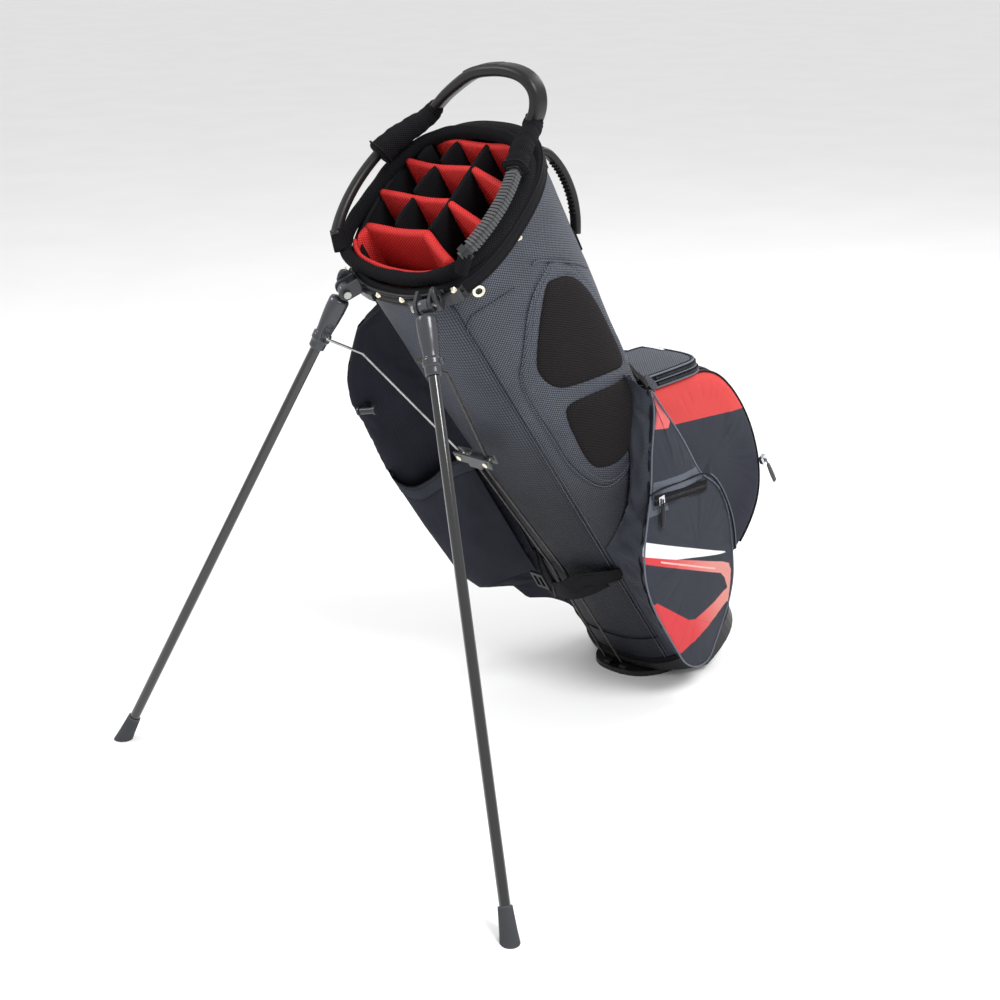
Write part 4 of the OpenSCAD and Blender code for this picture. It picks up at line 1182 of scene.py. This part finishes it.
def on_face(yz, out):
    """Points of the side view laid on the right pocket's face."""
    return np.stack([face_x(yz[:, 1]) + out, yz[:, 0], yz[:, 1]], 1)


def build_right_pocket():
    """Creased gusset from the tube out to a crowned face, stuffed and piped."""
    edge = smooth(FACE, 220, True, 2)
    c = np.array([0.0, 255.0])
    # foot of the pocket on the tube: the front follows the seam, the rear meets the ball pocket
    foot = edge.copy()
    foot[:, 0] = np.maximum(foot[:, 0], -front_y(82.0, foot[:, 1]))
    foot[:, 1] = np.clip(foot[:, 1], 66, 530)
    foot[:, 1] += 26 * step(foot[:, 1], 380, 520)
    start = np.stack([side_x(foot[:, 0], foot[:, 1], 0.6), foot[:, 0], foot[:, 1]], 1)
    end = np.stack([np.full(len(edge), 158.0), edge[:, 0], edge[:, 1]], 1)
    inner_c = np.array([100.0, 0.0, 280.0])
    loops = [push_out(inner_c + (start - inner_c) * r, 0.5) for r in (0.02, 0.5)]
    ang = np.arctan2(edge[:, 1] - c[1], edge[:, 0] - c[0])
    for t in np.linspace(0, 1, 16):
        p = start + (end - start) * t
        w = math.sin(PI * t)
        # folds that fan out of the seam
        crease = 2.6 * np.sin(15 * ang + 3 * t) * w + 1.5 * np.sin(29 * ang - 5 * t + 1) * w
        d = p[:, 1:] - c
        d /= np.linalg.norm(d, axis=1)[:, None]
        p[:, 1:] += d * (crease - 4.0 * w)[:, None]
        loops.append(push_out(p, CLOTH_MM))
    for inset, x in ((0.8, 159.8), (3.0, 161.0), (8.0, 161.8), (20.0, 163.0), (40.0, 164.4), (62.0, 165.4),
                     (80, 165.8), (95, 165.8), (108, 165.8)):
        yz = c + (edge - c) * (1 - inset / 110.0)
        pts = np.stack([np.full(len(yz), x), yz[:, 0], yz[:, 1]], 1)
        pts[:, 0] += (1.3 * ripple(pts, 44, 1.0) + 0.6 * ripple(pts, 19, 2.0)) * min(1, inset / 20)
        loops.append(pts)
    for p in loops[2:]:
        p[:, 0] += (face_x(p[:, 2]) - FACE_X) * step(p[:, 0], 110, 158)
    o = pocket("right_pocket", "side_pocket_right", loops, face_cloth)
    # the seams hold the cloth: along the tube and round the piped edge
    puff(o, lambda p: 1.2 + 4.8 * step(-p[:, 0], -158, -146),
         lambda p: np.clip(1.2 - np.minimum(p[:, 0] - 100, np.abs(p[:, 0] - 160.5) * 4) / 9, 0, 1))
    for name, k, out, r, mat in (("piping", 17, 1.2, 1.3, piping), ("binding", 15, 1.0, 1.5, dark_piping)):
        tube("right_pocket_" + name, loops[k] + (out, 0, 0), r, mat, closed=True)


build_right_pocket()


def teeth_row(name, pts, normal, pitch=3.0, half=2.3):
    """Zip teeth that mesh alternately along a line, on a tape."""
    pts = np.asarray(pts, float)
    total = np.linalg.norm(np.diff(pts, axis=0), axis=1).sum()
    q = resample(pts, int(total / pitch * 2))
    t, _, _ = frames_along(q)
    places = []
    for i, (p, d, m) in enumerate(zip(q, t, np.broadcast_to(np.asarray(normal, float), q.shape))):
        side = np.cross(d, m)
        side /= np.linalg.norm(side)
        k = 1 if i % 2 else -1
        places.append((p + side * k * half * 0.42, side * half * 0.7, m * 0.8, d * pitch * 0.24))
    return blocks(name, places, gunmetal)


def zip_band(name, pts, normal, width, mat, thick):
    """A flat tape along a line, facing normal."""
    pts = np.asarray(pts, float)
    t, _, _ = frames_along(pts)
    nor = np.broadcast_to(np.asarray(normal, float), pts.shape)
    side = np.cross(t, nor)
    side /= np.linalg.norm(side, axis=1)[:, None]
    sec = [(-0.5, 0), (-0.5, 0.8), (-0.12, 1), (-0.09, 0.55), (0.09, 0.55), (0.12, 1), (0.5, 0.8), (0.5, 0)]
    P = np.stack([pts + side * a * width + nor * b * thick for a, b in sec], 1)
    return grid(name, P, mat, wrap_v=True, cap=True)


def build_right_zip():
    """The right pocket's zip and, below it, the rounded edge of the front compartment."""
    pts = on_face(smooth([(-30, 389), (-10, 374), (66, 322)], 50, rounds=1), 1.4)
    o = zip_band("right_zip_tape", pts, (1, 0, 0), 15, zip_tape, 1.8)
    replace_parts(o, "side_zipper")
    teeth_row("right_zip_teeth", pts + (1.2, 0, 0), (1, 0, 0))
    flap = smooth([(-34, 404), (-14, 396), (40, 361), (68, 345), (82, 326), (88, 298), (88, 268), (85, 238),
                   (76, 206), (64, 182)], 90, rounds=2)
    p = on_face(flap, 2.0)
    tube("flap_piping", p, 1.4, dark_piping)
    tube("flap_piping_pale", (p + (0.6, 2.0, 0))[42:], 0.9, piping)
    p = on_face(smooth([(-40, 381), (-20, 368), (60, 314)], 40, rounds=1), 2.2)
    stitches("zip_stitch_low", p, (1, 0, 0), dark_thread)


build_right_zip()

BALL = [(60, 484), (90, 468), (112, 455), (150, 432), (188, 411), (212, 395), (233, 368), (246, 330),
        (253, 286), (253, 240), (246, 198), (234, 160), (214, 128), (188, 108), (155, 95),
        (120, 89), (60, 87)]
BALL_HALF = 96.0  # half the ball pocket's width


def ball_paint(s, base, h):
    """Coral band across the top of the ball pocket's sides, charcoal elsewhere."""
    y, z = s.bag_yz()
    x = s.node("ShaderNodeSeparateXYZ", {0: s.place_mm()}).outputs[0]
    side = s.ramp(s.m("ABSOLUTE", x), 89.5, 91.5)
    lower = s.mix(s.ramp(z, 300.0, 120.0), base, NAVY_HI)
    # the coral's thread tops lighter than its hollows: partly their own tones, partly a painted highlight on
    # the tops and painted shade in the hollows
    co = s.mix(s.ramp(h, 0.1, 0.9), CORAL_LO, CORAL_HI)
    c = s.mix(s.edge(y, z, (242, 286), (104, 387)), co, lower)
    return s.mix(side, NAVY_HI, c)


ball_cloth = fabric("ball_pocket_cloth", GREY_LO, GREY_HI, "twill", 1.7, 0.2, 0.66, 0.15, paint=ball_paint)


def build_ball_pocket():
    """The big rear pocket: two crowned cheeks joined by a wide gusset with the zip."""
    edge = smooth(BALL, 240, True, 2)
    c = np.array([150.0, 275.0])

    def ring(x, inset, loose=0.0, seed=0.0):
        yz = c + (edge - c) * (1 - inset / 150.0)
        pts = np.stack([np.full(len(yz), float(x)), yz[:, 0], yz[:, 1]], 1)
        pts[:, 0] += loose * ripple(pts, 60, seed) + 0.5 * loose * ripple(pts, 26, seed + 2)
        return pts

    rows = [(0.98 * 150, 4.5), (125, 4.4), (100, 4.2), (75, 3.6), (50, 2.4), (30, 1.0), (14, -0.6),
            (6, -2.2), (2.4, -4.2)]
    loops = [ring(-BALL_HALF - up, inset, -1.6 if inset > 10 else 0, 3.0) for inset, up in rows]
    for t in np.linspace(-1, 1, 21):
        p = ring(t * (BALL_HALF - 7), -8.0 * (1 - t * t) ** 0.8 - 0.6)
        d = p[:, 1:] - c
        d /= np.linalg.norm(d, axis=1)[:, None]
        p[:, 1:] += d * (1.6 * ripple(p, 46, 5.0) * (1 - t ** 4))[:, None]
        loops.append(p)
    loops += [ring(BALL_HALF + up, inset, 1.6 if inset > 10 else 0, 6.0) for inset, up in rows[::-1]]
    o = pocket("ball_pocket_soft", "ball_pocket", [push_out(p, CLOTH_MM) for p in loops], ball_cloth)
    puff(o, lambda p: 1.8 + 4.2 * step(-np.abs(p[:, 0]), -90, -78),
         lambda p: np.maximum(np.clip(1.2 - np.abs(np.abs(p[:, 0]) - 93.5) / 4, 0, 1),
                              np.clip((104 - p[:, 1]) / 8, 0, 1)))
    ball_trim(edge, c)


def ball_trim(edge, c):
    """Piping on both rims of the gusset, and the zip, from the tube over the top and down the back."""
    keep = edge[(edge[:, 0] > 100) & (edge[:, 1] > 92)]
    arc = keep[np.argsort(-np.arctan2(keep[:, 1] - 275, keep[:, 0] - 100))]
    d = arc - c
    d /= np.linalg.norm(d, axis=1)[:, None]

    def along(x, out):
        return np.concatenate([np.full((len(arc), 1), float(x)), arc + d * out], 1)

    for sx, tag in ((1, "right"), (-1, "left")):
        rail = along(sx * (BALL_HALF - 3), 0.6)
        tube("ball_piping_" + tag, rail, 1.7, dark_piping)
    nor = np.concatenate([np.full((len(d), 1), 0.25), d], 1)
    nor /= np.linalg.norm(nor, axis=1)[:, None]
    zipped = slice(26, len(arc) - 16)
    zip_x = BALL_HALF - 17
    o = zip_band("ball_zip_tape", along(zip_x, 1.8)[zipped], nor[zipped], 22, zip_tape, 1.8)
    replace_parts(o, "ball_zipper")
    pts = along(zip_x, 3.6)[zipped]
    total = np.linalg.norm(np.diff(pts, axis=0), axis=1).sum()
    m = int(total / 3.2 * 2)
    q, qn = resample(pts, m), resample(nor[zipped], m)
    t, _, _ = frames_along(q)
    places = []
    for i in range(m):
        side = np.cross(t[i], qn[i])
        k = 1 if i % 2 else -1
        places.append((q[i] + side * k * 1.0, side * 1.6, qn[i] * 0.8, t[i] * 0.8))
    blocks("ball_zip_teeth", places, gunmetal)
    tube("ball_piping_zip", along(BALL_HALF - 30, 2.4)[zipped], 1.2, dark_piping)


build_ball_pocket()


LID = [(97, 84), (99, 120), (100, 178), (97, 196), (86, 208), (66, 213), (44, 213), (10, 212), (-4, 208),
       (-10, 196), (-10, 100), (40, 90)]


def lid_z(y):
    """Height of the valuables pocket's lid, level in the ground frame."""
    return 484 - 0.576 * (y - 109)


def build_valuables():
    """Flat-topped pocket on the level top of the ball pocket: lid, piping and a double zip gusset."""
    plan = smooth(LID, 120, True, 2)
    c = np.array([46.0, 150.0])

    def loop(inset, low, sag=0.0):
        xy = c + (plan - c) * (1 - inset / 55.0)
        p = np.stack([xy[:, 0], xy[:, 1], lid_z(xy[:, 1]) - low], 1)
        p[:, 2] += sag * ripple(p, 30, 3.0)
        return push_out(p, 1.0)

    loops = [loop(*at) for at in (
        (54, 24.5), (20, 24.5), (2, 24.5), (0, 23.5), (-1.2, 18), (-0.6, 13.5), (0.4, 12), (-0.4, 10.5),
        (-1.2, 5), (0, 1.2), (2, 0), (8, -1.2, 0.6), (20, -2.2, 1.0), (36, -2.6, 1.0), (50, -2.8, 1.0),
        (54, -2.8, 1.0))]
    P = np.stack(loops, 0)
    uv = (np.concatenate([P[..., 0], P[:, :1, 0]], 1), np.concatenate([P[..., 1], P[:, :1, 1]], 1) * 1.15)
    o = grid("valuables_box", P, [slate, zip_tape], wrap_v=True, cap=True, uv=uv,
             slot_of=lambda i, j: 1 if 2 <= i < 9 else 0)
    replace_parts(o, "valuables_pocket")
    for tag, inset, low, r, mat in (("lid", -0.8, 1.0, 1.5, piping), ("mid", -1.0, 12.2, 1.1, piping),
                                    ("foot", -0.4, 24.0, 1.5, piping),
                                    ("lid_inner", 1.6, -0.6, 0.8, dark_piping)):
        tube("valuables_piping_" + tag, loop(inset, low), r, mat, closed=True)
    for tag, low in (("upper", 6.8), ("lower", 18.0)):
        teeth_row("valuables_teeth_" + tag, loop(-1.6, low)[6:52], (1, 0, 0))
    stripe = np.array([(-2, 205), (14, 207), (34, 206.5)], float)
    stripe = smooth(np.stack([stripe[:, 0], stripe[:, 1], lid_z(stripe[:, 1]) + 2.2], 1), 24)
    zip_band("valuables_stripe", stripe, (0, 0.5, 0.87), 6, white_cloth, 0.5)
    # grey end tab and looped puller beside the tube
    tab = smooth([(100.5, 98, 492), (101.5, 102, 482), (101.5, 106, 468), (100, 108, 460)], 16)
    sweep("valuables_tab", tab, round_box(12, 2.6, 1.2, 4), slate, up=(1, 0, 0))
    puller = smooth([(99, 88, 500), (100, 84, 516), (99, 82, 530), (98, 83, 536), (97, 86, 530),
                     (98, 89, 514), (99, 92, 500)], 40)
    tube("valuables_puller", puller, 2.3, moulded)
    tail = smooth([(99, 90, 506), (101, 94, 492), (101, 96, 478)], 20)
    sweep("valuables_puller_tail", tail, round_box(8, 4, 1.8, 4), moulded, up=(1, 0, 0))


build_valuables()


# ---------------------------------------------------------------- left pocket and pouch

# how far forward the left pocket reaches, against height
FRONT_REACH = ([112, 130, 171, 210, 263, 383, 508, 591, 633, 668, 705, 735, 754],
               [96, 106, 117, 159, 176, 183, 186, 179, 179, 165, 134, 108, 92])


def left_section(z, n=90, hollow=1.0):
    """Plan outline of the left pocket at a height, from the front seam round to the rear."""
    reach = np.interp(z, *FRONT_REACH)
    k = np.clip((reach - 92) / 92, 0, 1)
    body = skin(-front(z), z, 0.8)
    back = skin(-np.array(PI * 0.665), z, 0.8)
    wide = 0.25 + 0.75 * np.clip(k * 1.4, 0, 1) ** 0.6
    dent = 13 * hollow * step(z, 250, 330) * step(-z, -560, -486)
    pts = np.array([
        body[:2], (-92 - 4 * wide - 0.5 * dent, -84 - 6 * k + 0.5 * dent),
        (-140 - 0.4 * dent, -84 - 56 * k + dent), (-140 - 27 * wide, -reach + 4 + 0.6 * dent),
        (-140 - 44 * wide, -reach + 8), (-140 - 52 * wide, -reach + 38), (-140 - 44 * wide, -62),
        (-140 - 20 * wide, 18), (-126 - 4 * wide, 58), back[:2]], float)
    pts[1:-1, 0] = np.minimum(pts[1:-1, 0], -90)
    q = smooth(pts, n, rounds=3)
    return np.concatenate([q, np.full((n, 1), z)], 1)


SEAMS = {"outer": 34, "inner": 2}  # the columns of the left pocket that are piped


def build_left_pocket():
    """The tall left pocket, closed against the tube, with long folds."""
    zs = np.concatenate([[112.5], np.linspace(114, 740, 100), [744, 745.5]])
    t = np.linspace(0, 1, 90)
    rows = []
    for z in zs:
        q = left_section(z, 90)
        close = 1.0
        if z < 128:
            close = 0.35 + 0.65 * step(z, 111, 128)
        if z > 722:
            close = 0.30 + 0.70 * step(-z, -746, -722)
        hit = push_out(q * (0.55, 0.55, 1), 0.8)
        p = hit + (q - hit) * close
        # long soft folds that hang from the top and gather towards the pouch's mouth
        fold = 3.4 * np.sin(7 * t * PI + 0.011 * z) + 2.0 * np.sin(15 * t * PI - 0.017 * z)
        fold *= np.sin(PI * t) ** 0.7
        fold *= 0.5 + 0.5 * np.sin((z - 112) / 634 * PI)
        a = np.arctan2(p[:, 1], p[:, 0])
        p[:, 0] += np.cos(a) * fold
        p[:, 1] += np.sin(a) * fold
        rows.append(push_out(p, 0.8))
    outer = np.stack(rows, 0)
    inner = []
    for row in rows:
        a = np.linspace(math.atan2(row[-1][0], -row[-1][1]), math.atan2(row[0][0], -row[0][1]), 16)[1:-1]
        inner.append(skin(a, row[0][2], 0.6))
    P = np.concatenate([outer, np.stack(inner, 0)], 1)
    arc = np.concatenate([[0], np.cumsum(np.linalg.norm(np.diff(outer[50], axis=0), axis=1))])
    cols = np.concatenate([arc, np.linspace(arc[-1], arc[-1] + 150, 15)])
    U = np.broadcast_to(cols, (len(zs), P.shape[1] + 1))
    V = np.broadcast_to(zs[:, None], U.shape)
    # the pocket's dark charcoal twill: partly its own tone, partly painted shade above the pouch
    o = grid("left_pocket", P, navy, wrap_v=True, cap=True, uv=(U, V))
    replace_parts(o, "side_pocket_left")
    lines = np.concatenate([outer[:, j] for j in SEAMS.values()])

    def sewn(p):
        near = np.sqrt(((p[:, None, :] - lines[None]) ** 2).sum(-1)).min(1)
        near = np.minimum(near, np.linalg.norm(p - push_out(p * (0.5, 0.5, 1), CLOTH_MM), axis=1))
        return np.clip(1.3 - near / 10, 0, 1)

    # the cloth hardly moves behind the pouch
    puff(o, lambda p: np.where((p[:, 1] < -70) & (p[:, 0] > -176), 1.6, 6.0), sewn)
    for tag, j in SEAMS.items():
        tube("left_piping_" + tag, outer[4:-4, j], 1.3, dark_piping)


build_left_pocket()


POUCH_FOOT, POUCH_THICK = 215, 2.2


def build_pouch():
    """Open pouch on the left pocket's front face: loose cloth with a wide sagging hem, the hem drawn lighter
    as a painted highlight along its lit top edge.
    """
    s = np.linspace(0, 1, 56)
    mouth_z = np.interp(s, [0, 0.075, 0.26, 0.45, 0.625, 0.75, 0.9, 1.0],
                        [472, 478, 483, 474, 468, 472, 492, 506])
    mouth_z = np.convolve(np.pad(mouth_z, 4, mode="edge"), np.ones(9) / 9, "valid")
    out_way = np.array([0.76, -0.65, 0.0])
    rows = []
    for t in np.linspace(0, 1, 60):
        z = POUCH_FOOT + (mouth_z - POUCH_FOOT) * t
        row = []
        for sk, zk in zip(s, z):
            sec = left_section(zk, 120, hollow=0.0)
            x = -100 - 81 * sk
            i = int(np.argmax(sec[:, 0] < x)) if (sec[:, 0] < x).any() else int(np.argmin(sec[:, 0]))
            a, b = sec[max(i - 1, 0)], sec[i]
            f = np.clip((x - a[0]) / (b[0] - a[0] - 1e-9), 0, 1)
            row.append(a + (b - a) * f)
        w = np.sin(PI * s)
        off = 3.2 + 11 * w ** 0.7 * t ** 1.5 + 5 * math.sin(PI * t) * w
        off += (1.6 * np.sin(9 * s + 7 * t) * w * math.sin(PI * t) ** 0.5
                + 0.8 * np.sin(23 * s - 9 * t) * w * t)
        p = np.array(row) + out_way * off[:, None]
        p[:, 2] = z
        rows.append(push_out(p, 3.0))
    outer = np.stack(rows, 0)
    inner = outer - out_way * POUCH_THICK
    P = np.concatenate([outer, inner[::-1]], 0).transpose(1, 0, 2)
    o = grid("pouch_front", P, pouch_cloth, wrap_v=True, cap=True)
    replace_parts(o, "open_pouch")
    brim, drop = outer[-1], outer[-7] - outer[-1]
    hem = [brim + drop * (1 - d) + out_way * out
           for d, out in ((0.0, 1.4), (0.2, 1.9), (0.5, 2.0), (0.8, 1.9), (1.0, 1.4), (1.02, 0.2),
                          (1.0, -3.6), (0.2, -3.4))]
    # the hem in the lighter twill: a painted highlight along its lit top edge
    o = grid("pouch_hem", np.stack(hem, 1), pouch_hem_highlight_cloth, wrap_v=True, cap=True)
    for tag, line in (("low", outer[-7] + out_way * 1.5), ("top", brim + drop * 0.14 + out_way * 1.9)):
        stitches("pouch_stitch_" + tag, line[1:-1], out_way, dark_thread)


build_pouch()


# ---------------------------------------------------------------- pulls, strap, toggle, stand details

def box_mm(cad):
    """A CAD piece's corners in ground-frame millimetres."""
    return (np.array(v) * 1000 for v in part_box(cad))


def build_pull(cad, body, ends, cord_mat, grip_mat, wide):
    """A short cord and a ribbed grip that swing with their zip's pull."""
    name = cad + "_soft"
    ends = np.array(ends)
    pts = ends[0] + (ends[1] - ends[0]) * np.linspace(0, 1, 26)[:, None]
    tube(name + "_cord", pts[:9], 1.3, cord_mat, body=body, local=False)
    grip, across = pts[6:], (1, 0, 0)
    size = 0.62 + 0.38 * np.sin(np.linspace(0.35, PI * 0.75, len(grip)))
    kw = dict(body=body, local=False)
    o = sweep(name, grip, round_box(wide, 3.4, 1.6, 5), grip_mat, up=across, size=size, **kw)
    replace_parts(o, cad)
    t, sd, tp = frames_along(grip, up=across)
    places = [(grip[i] + tp[i] * k * 1.5, sd[i] * wide * 0.32, tp[i] * 0.4, t[i] * 0.5)
              for i in range(5, len(grip) - 4, 2) for k in (-1, 1)]
    blocks(name + "_ribs", places, grip_mat, **kw)


def build_pulls():
    lo, hi = box_mm("side_pull")
    x, y, _ = (lo + hi) / 2
    build_pull("side_pull", "side_zip_pull", [(x, y, hi[2]), (x, y, lo[2])], zip_tape, moulded, 8.5)
    lo, hi = box_mm("ball_pull")
    x = (lo[0] + hi[0]) / 2
    build_pull("ball_pull", "ball_zip_pull", [(x, lo[1] + 2, hi[2] - 1), (x, hi[1] - 2, lo[2] + 1)],
               piping, grey_plastic, 8.0)


build_pulls()


def ribbon(name, way, wide, thick, up):
    """Flat band of webbing along a line; its width follows up."""
    pts = smooth(np.array(way, float), 80, rounds=3)
    o = sweep(name, pts, round_box(thick, wide, thick * 0.45, 4), webbing, up=up)
    return o


STRAP = [(88, -76, 262), (82, -92, 264), (66, -108, 270), (46, -122, 276), (20, -130, 262), (0, -131, 248),
         (-25, -126, 232), (-40, -119, 224)]
STRAP_BANDS = (
    ("strap_under", 20, 2.6, (0.25, 0, 1),
     [(66, -102, 254), (52, -114, 250), (20, -124, 236), (-10, -124, 222), (-35, -118, 212)]),
    ("strap_tail", 17, 2.4, (0.1, 0, 1),
     [(96, -84, 272), (84, -98, 276), (66, -110, 280), (44, -124, 284), (24, -131, 272), (12, -134, 262)]),
    ("strap_loop", 11, 2.0, (0.7, -0.1, 1),
     [(-22, -124, 230), (-38, -124, 214), (-52, -120, 205), (-66, -114, 208), (-74, -106, 222),
      (-78, -98, 246), (-77, -92, 268)]),
    ("strap_anchor", 15, 2.4, (0.5, 0, 1),
     [(-30, -122, 240), (-46, -112, 252), (-62, -100, 264), (-76, -88, 272)]),
)


def build_strap():
    """Leg strap across the front: two bands, a tail, an open loop of thin webbing and a keeper."""
    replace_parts(ribbon("front_strap", STRAP, 26, 3.0, (0.25, 0, 1)), "leg_strap")
    for name, wide, thick, up, way in STRAP_BANDS:
        ribbon(name, way, wide, thick, up)
    ring = round_box(9, 32, 3.5, 5)
    across, along = np.array([0.25, -0.97, 0]), np.array([0.3, 0, 0.95])
    hoop = np.array([-34.0, -121.0, 224.0]) + ring[:, :1] * across + ring[:, 1:] * along
    tube("strap_keeper", hoop, 1.8, moulded, closed=True)


def build_foot_trim():
    """Hem line and trim round the foot of the body."""
    a = np.linspace(-1.25, 1.25, 90)
    tube("hem_line", skin(a, 106 + 0 * a, 1.0), 1.1, dark_piping)
    rows = [skin(ring_a, z + 0 * ring_a, d)
            for z, d in ((31, 0.4), (32, 2.2), (44, 2.4), (53, 2.2), (54.5, 1.0), (54.0, -0.5))]
    grid("base_trim", np.stack(rows, 1), binding, wrap_u=True, wrap_v=True)


build_strap()
build_foot_trim()


def build_toggle_tab():
    """The webbing tab that the toggle hangs from."""
    lo, hi = box_mm("toggle")
    c = (lo + hi) / 2
    a = ground(np.array([-158.0, -160.0, 632.0])) * 1000
    way = smooth(np.array([a, (a + c) / 2 + (0, 0, 3), c]), 16)
    o = sweep("toggle_tab", way, round_box(9, 2.2, 1.0, 4), webbing, up=(0, 0, 1), local=False)


build_toggle_tab()


HINGE = np.array([75.0, -147.0, 846.0])  # middle of the right leg's hinge
YAW, FOLD = math.radians(31), math.radians(-52.5)  # of the leg's frame, and of the leg in it
HINGE_AX = np.array([math.cos(YAW), math.sin(YAW), 0])
HINGE_FW = np.array([-math.sin(YAW), math.cos(YAW), 0])
HINGE_UP = np.array([0, 0, 1.0])
LEG_FW = math.cos(FOLD) * HINGE_FW + math.sin(FOLD) * HINGE_UP
LEG_UP = -math.sin(FOLD) * HINGE_FW + math.cos(FOLD) * HINGE_UP
LUG = [(-13, 6), (-2, 19), (6, 17), (14, 2), (8, -14), (-4, -18), (-12, -8)]
# the knuckle's bottle shape: height below the hinge and radius
KNUCKLE = [(-12, 8), (-14, 12.5), (-17, 13.4), (-30, 13.4), (-45, 12.4), (-60, 10.8), (-66, 10.6),
           (-67.5, 12.6), (-76, 12.6), (-77.5, 11), (-88, 10.6), (-89, 9.4), (-87, 7.2)]


def turn(n):
    return np.linspace(0, 2 * PI, n, endpoint=False)


def by_angle(outline):
    """The outline's points in order of their direction from the middle."""
    return outline[np.argsort(np.arctan2(outline[:, 1], outline[:, 0]))]


def leg_place(rows, side):
    """Points given across, forward and up along the right leg, or mirrored for the left one."""
    q = np.stack([HINGE + np.outer(p[:, 0], HINGE_AX) + np.outer(p[:, 1], LEG_FW) + np.outer(p[:, 2], LEG_UP)
                  for p in rows], 0)
    q[..., 0] *= side
    return q


def bracket_lug(side, tag):
    """The plate on the bracket that the hinge pin goes through."""
    outline = by_angle(smooth(LUG, 48, True, 1))
    hole = by_angle(np.stack([3.2 * np.cos(turn(48)), 5.0 * np.sin(turn(48))], 1))
    loops = [HINGE + HINGE_FW * 8 + np.outer(pts[:, 0], HINGE_FW) + np.outer(pts[:, 1], HINGE_UP)
             + HINGE_AX * dx
             for pts, dx in ((outline * 0.94, 14.2), (outline, 15.2), (outline, 17.8), (outline * 0.93, 19.0),
                             (hole * 1.12, 19.0), (hole, 18.3), (hole, 14.2))]
    P = np.stack(loops, 0)
    P[..., 0] *= side
    grid("bracket_lug_" + tag, P, bracket_plastic, wrap_u=True, wrap_v=True)


def knuckle(side, tag):
    """The bottle-shaped knuckle with its wire's slot, the hinge barrel and the boss below."""
    a = turn(40)
    profile = [np.linspace(p, q, 5)[:-1] for p, q in zip(KNUCKLE, KNUCKLE[1:])] + [KNUCKLE[-1:]]
    rows = []
    for z, r in np.concatenate(profile):
        x, y = r * np.cos(a), r * np.sin(a)
        slot = (x < 0) & (np.abs(y) < 5.2) & (z < -50.5) & (z > -72)
        rows.append(np.stack([np.where(slot, np.maximum(x, -7.6), x), y, np.full(40, z)], 1))
    kw = dict(wrap_v=True, body="leg_" + tag)
    o = grid("knuckle_" + tag, leg_place(rows, side), knuckle_plastic, cap=True, **kw)
    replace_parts(o, "leg_knuckle_" + tag)
    b = turn(36)
    rows = [np.stack([np.full(36, x), r * np.cos(b), r * np.sin(b)], 1)
            for x, r in ((-7, 3.4), (-7, 7.9), (-6.2, 8.8), (6.2, 8.8), (7, 7.9), (7, 3.4))]
    o = grid("knuckle_barrel_" + tag, leg_place(rows, side), knuckle_plastic, wrap_u=True, **kw)
    b = turn(24)
    rows = [np.stack([np.full(24, x), r * np.cos(b), -72 + r * np.sin(b)], 1)
            for x, r in ((11.0, 5.4), (14.2, 5.2), (15.0, 4.4), (15.0, 0.3))]
    o = grid("knuckle_boss_" + tag, leg_place(rows, side), knuckle_plastic, cap=True, **kw)


for side, tag in ((1, "right"), (-1, "left")):
    bracket_lug(side, tag)
    knuckle(side, tag)


def build_yoke_folds():
    """Three soft folds of the moulded yoke between the two brackets, level with the rim."""
    a = np.linspace(-0.62, 0.62, 80)
    for k, (drop, out, r) in enumerate(((9, 3.6, 3.4), (15.5, 4.6, 3.8), (22.5, 4.2, 3.4))):
        p = skin(a, TOP - drop + 0 * a, out)
        p = skin(a, TOP + p[:, 1] * math.tan(SLANT) - drop, out)
        tube("yoke_fold_%d" % k, p, r, moulded)


build_yoke_folds()
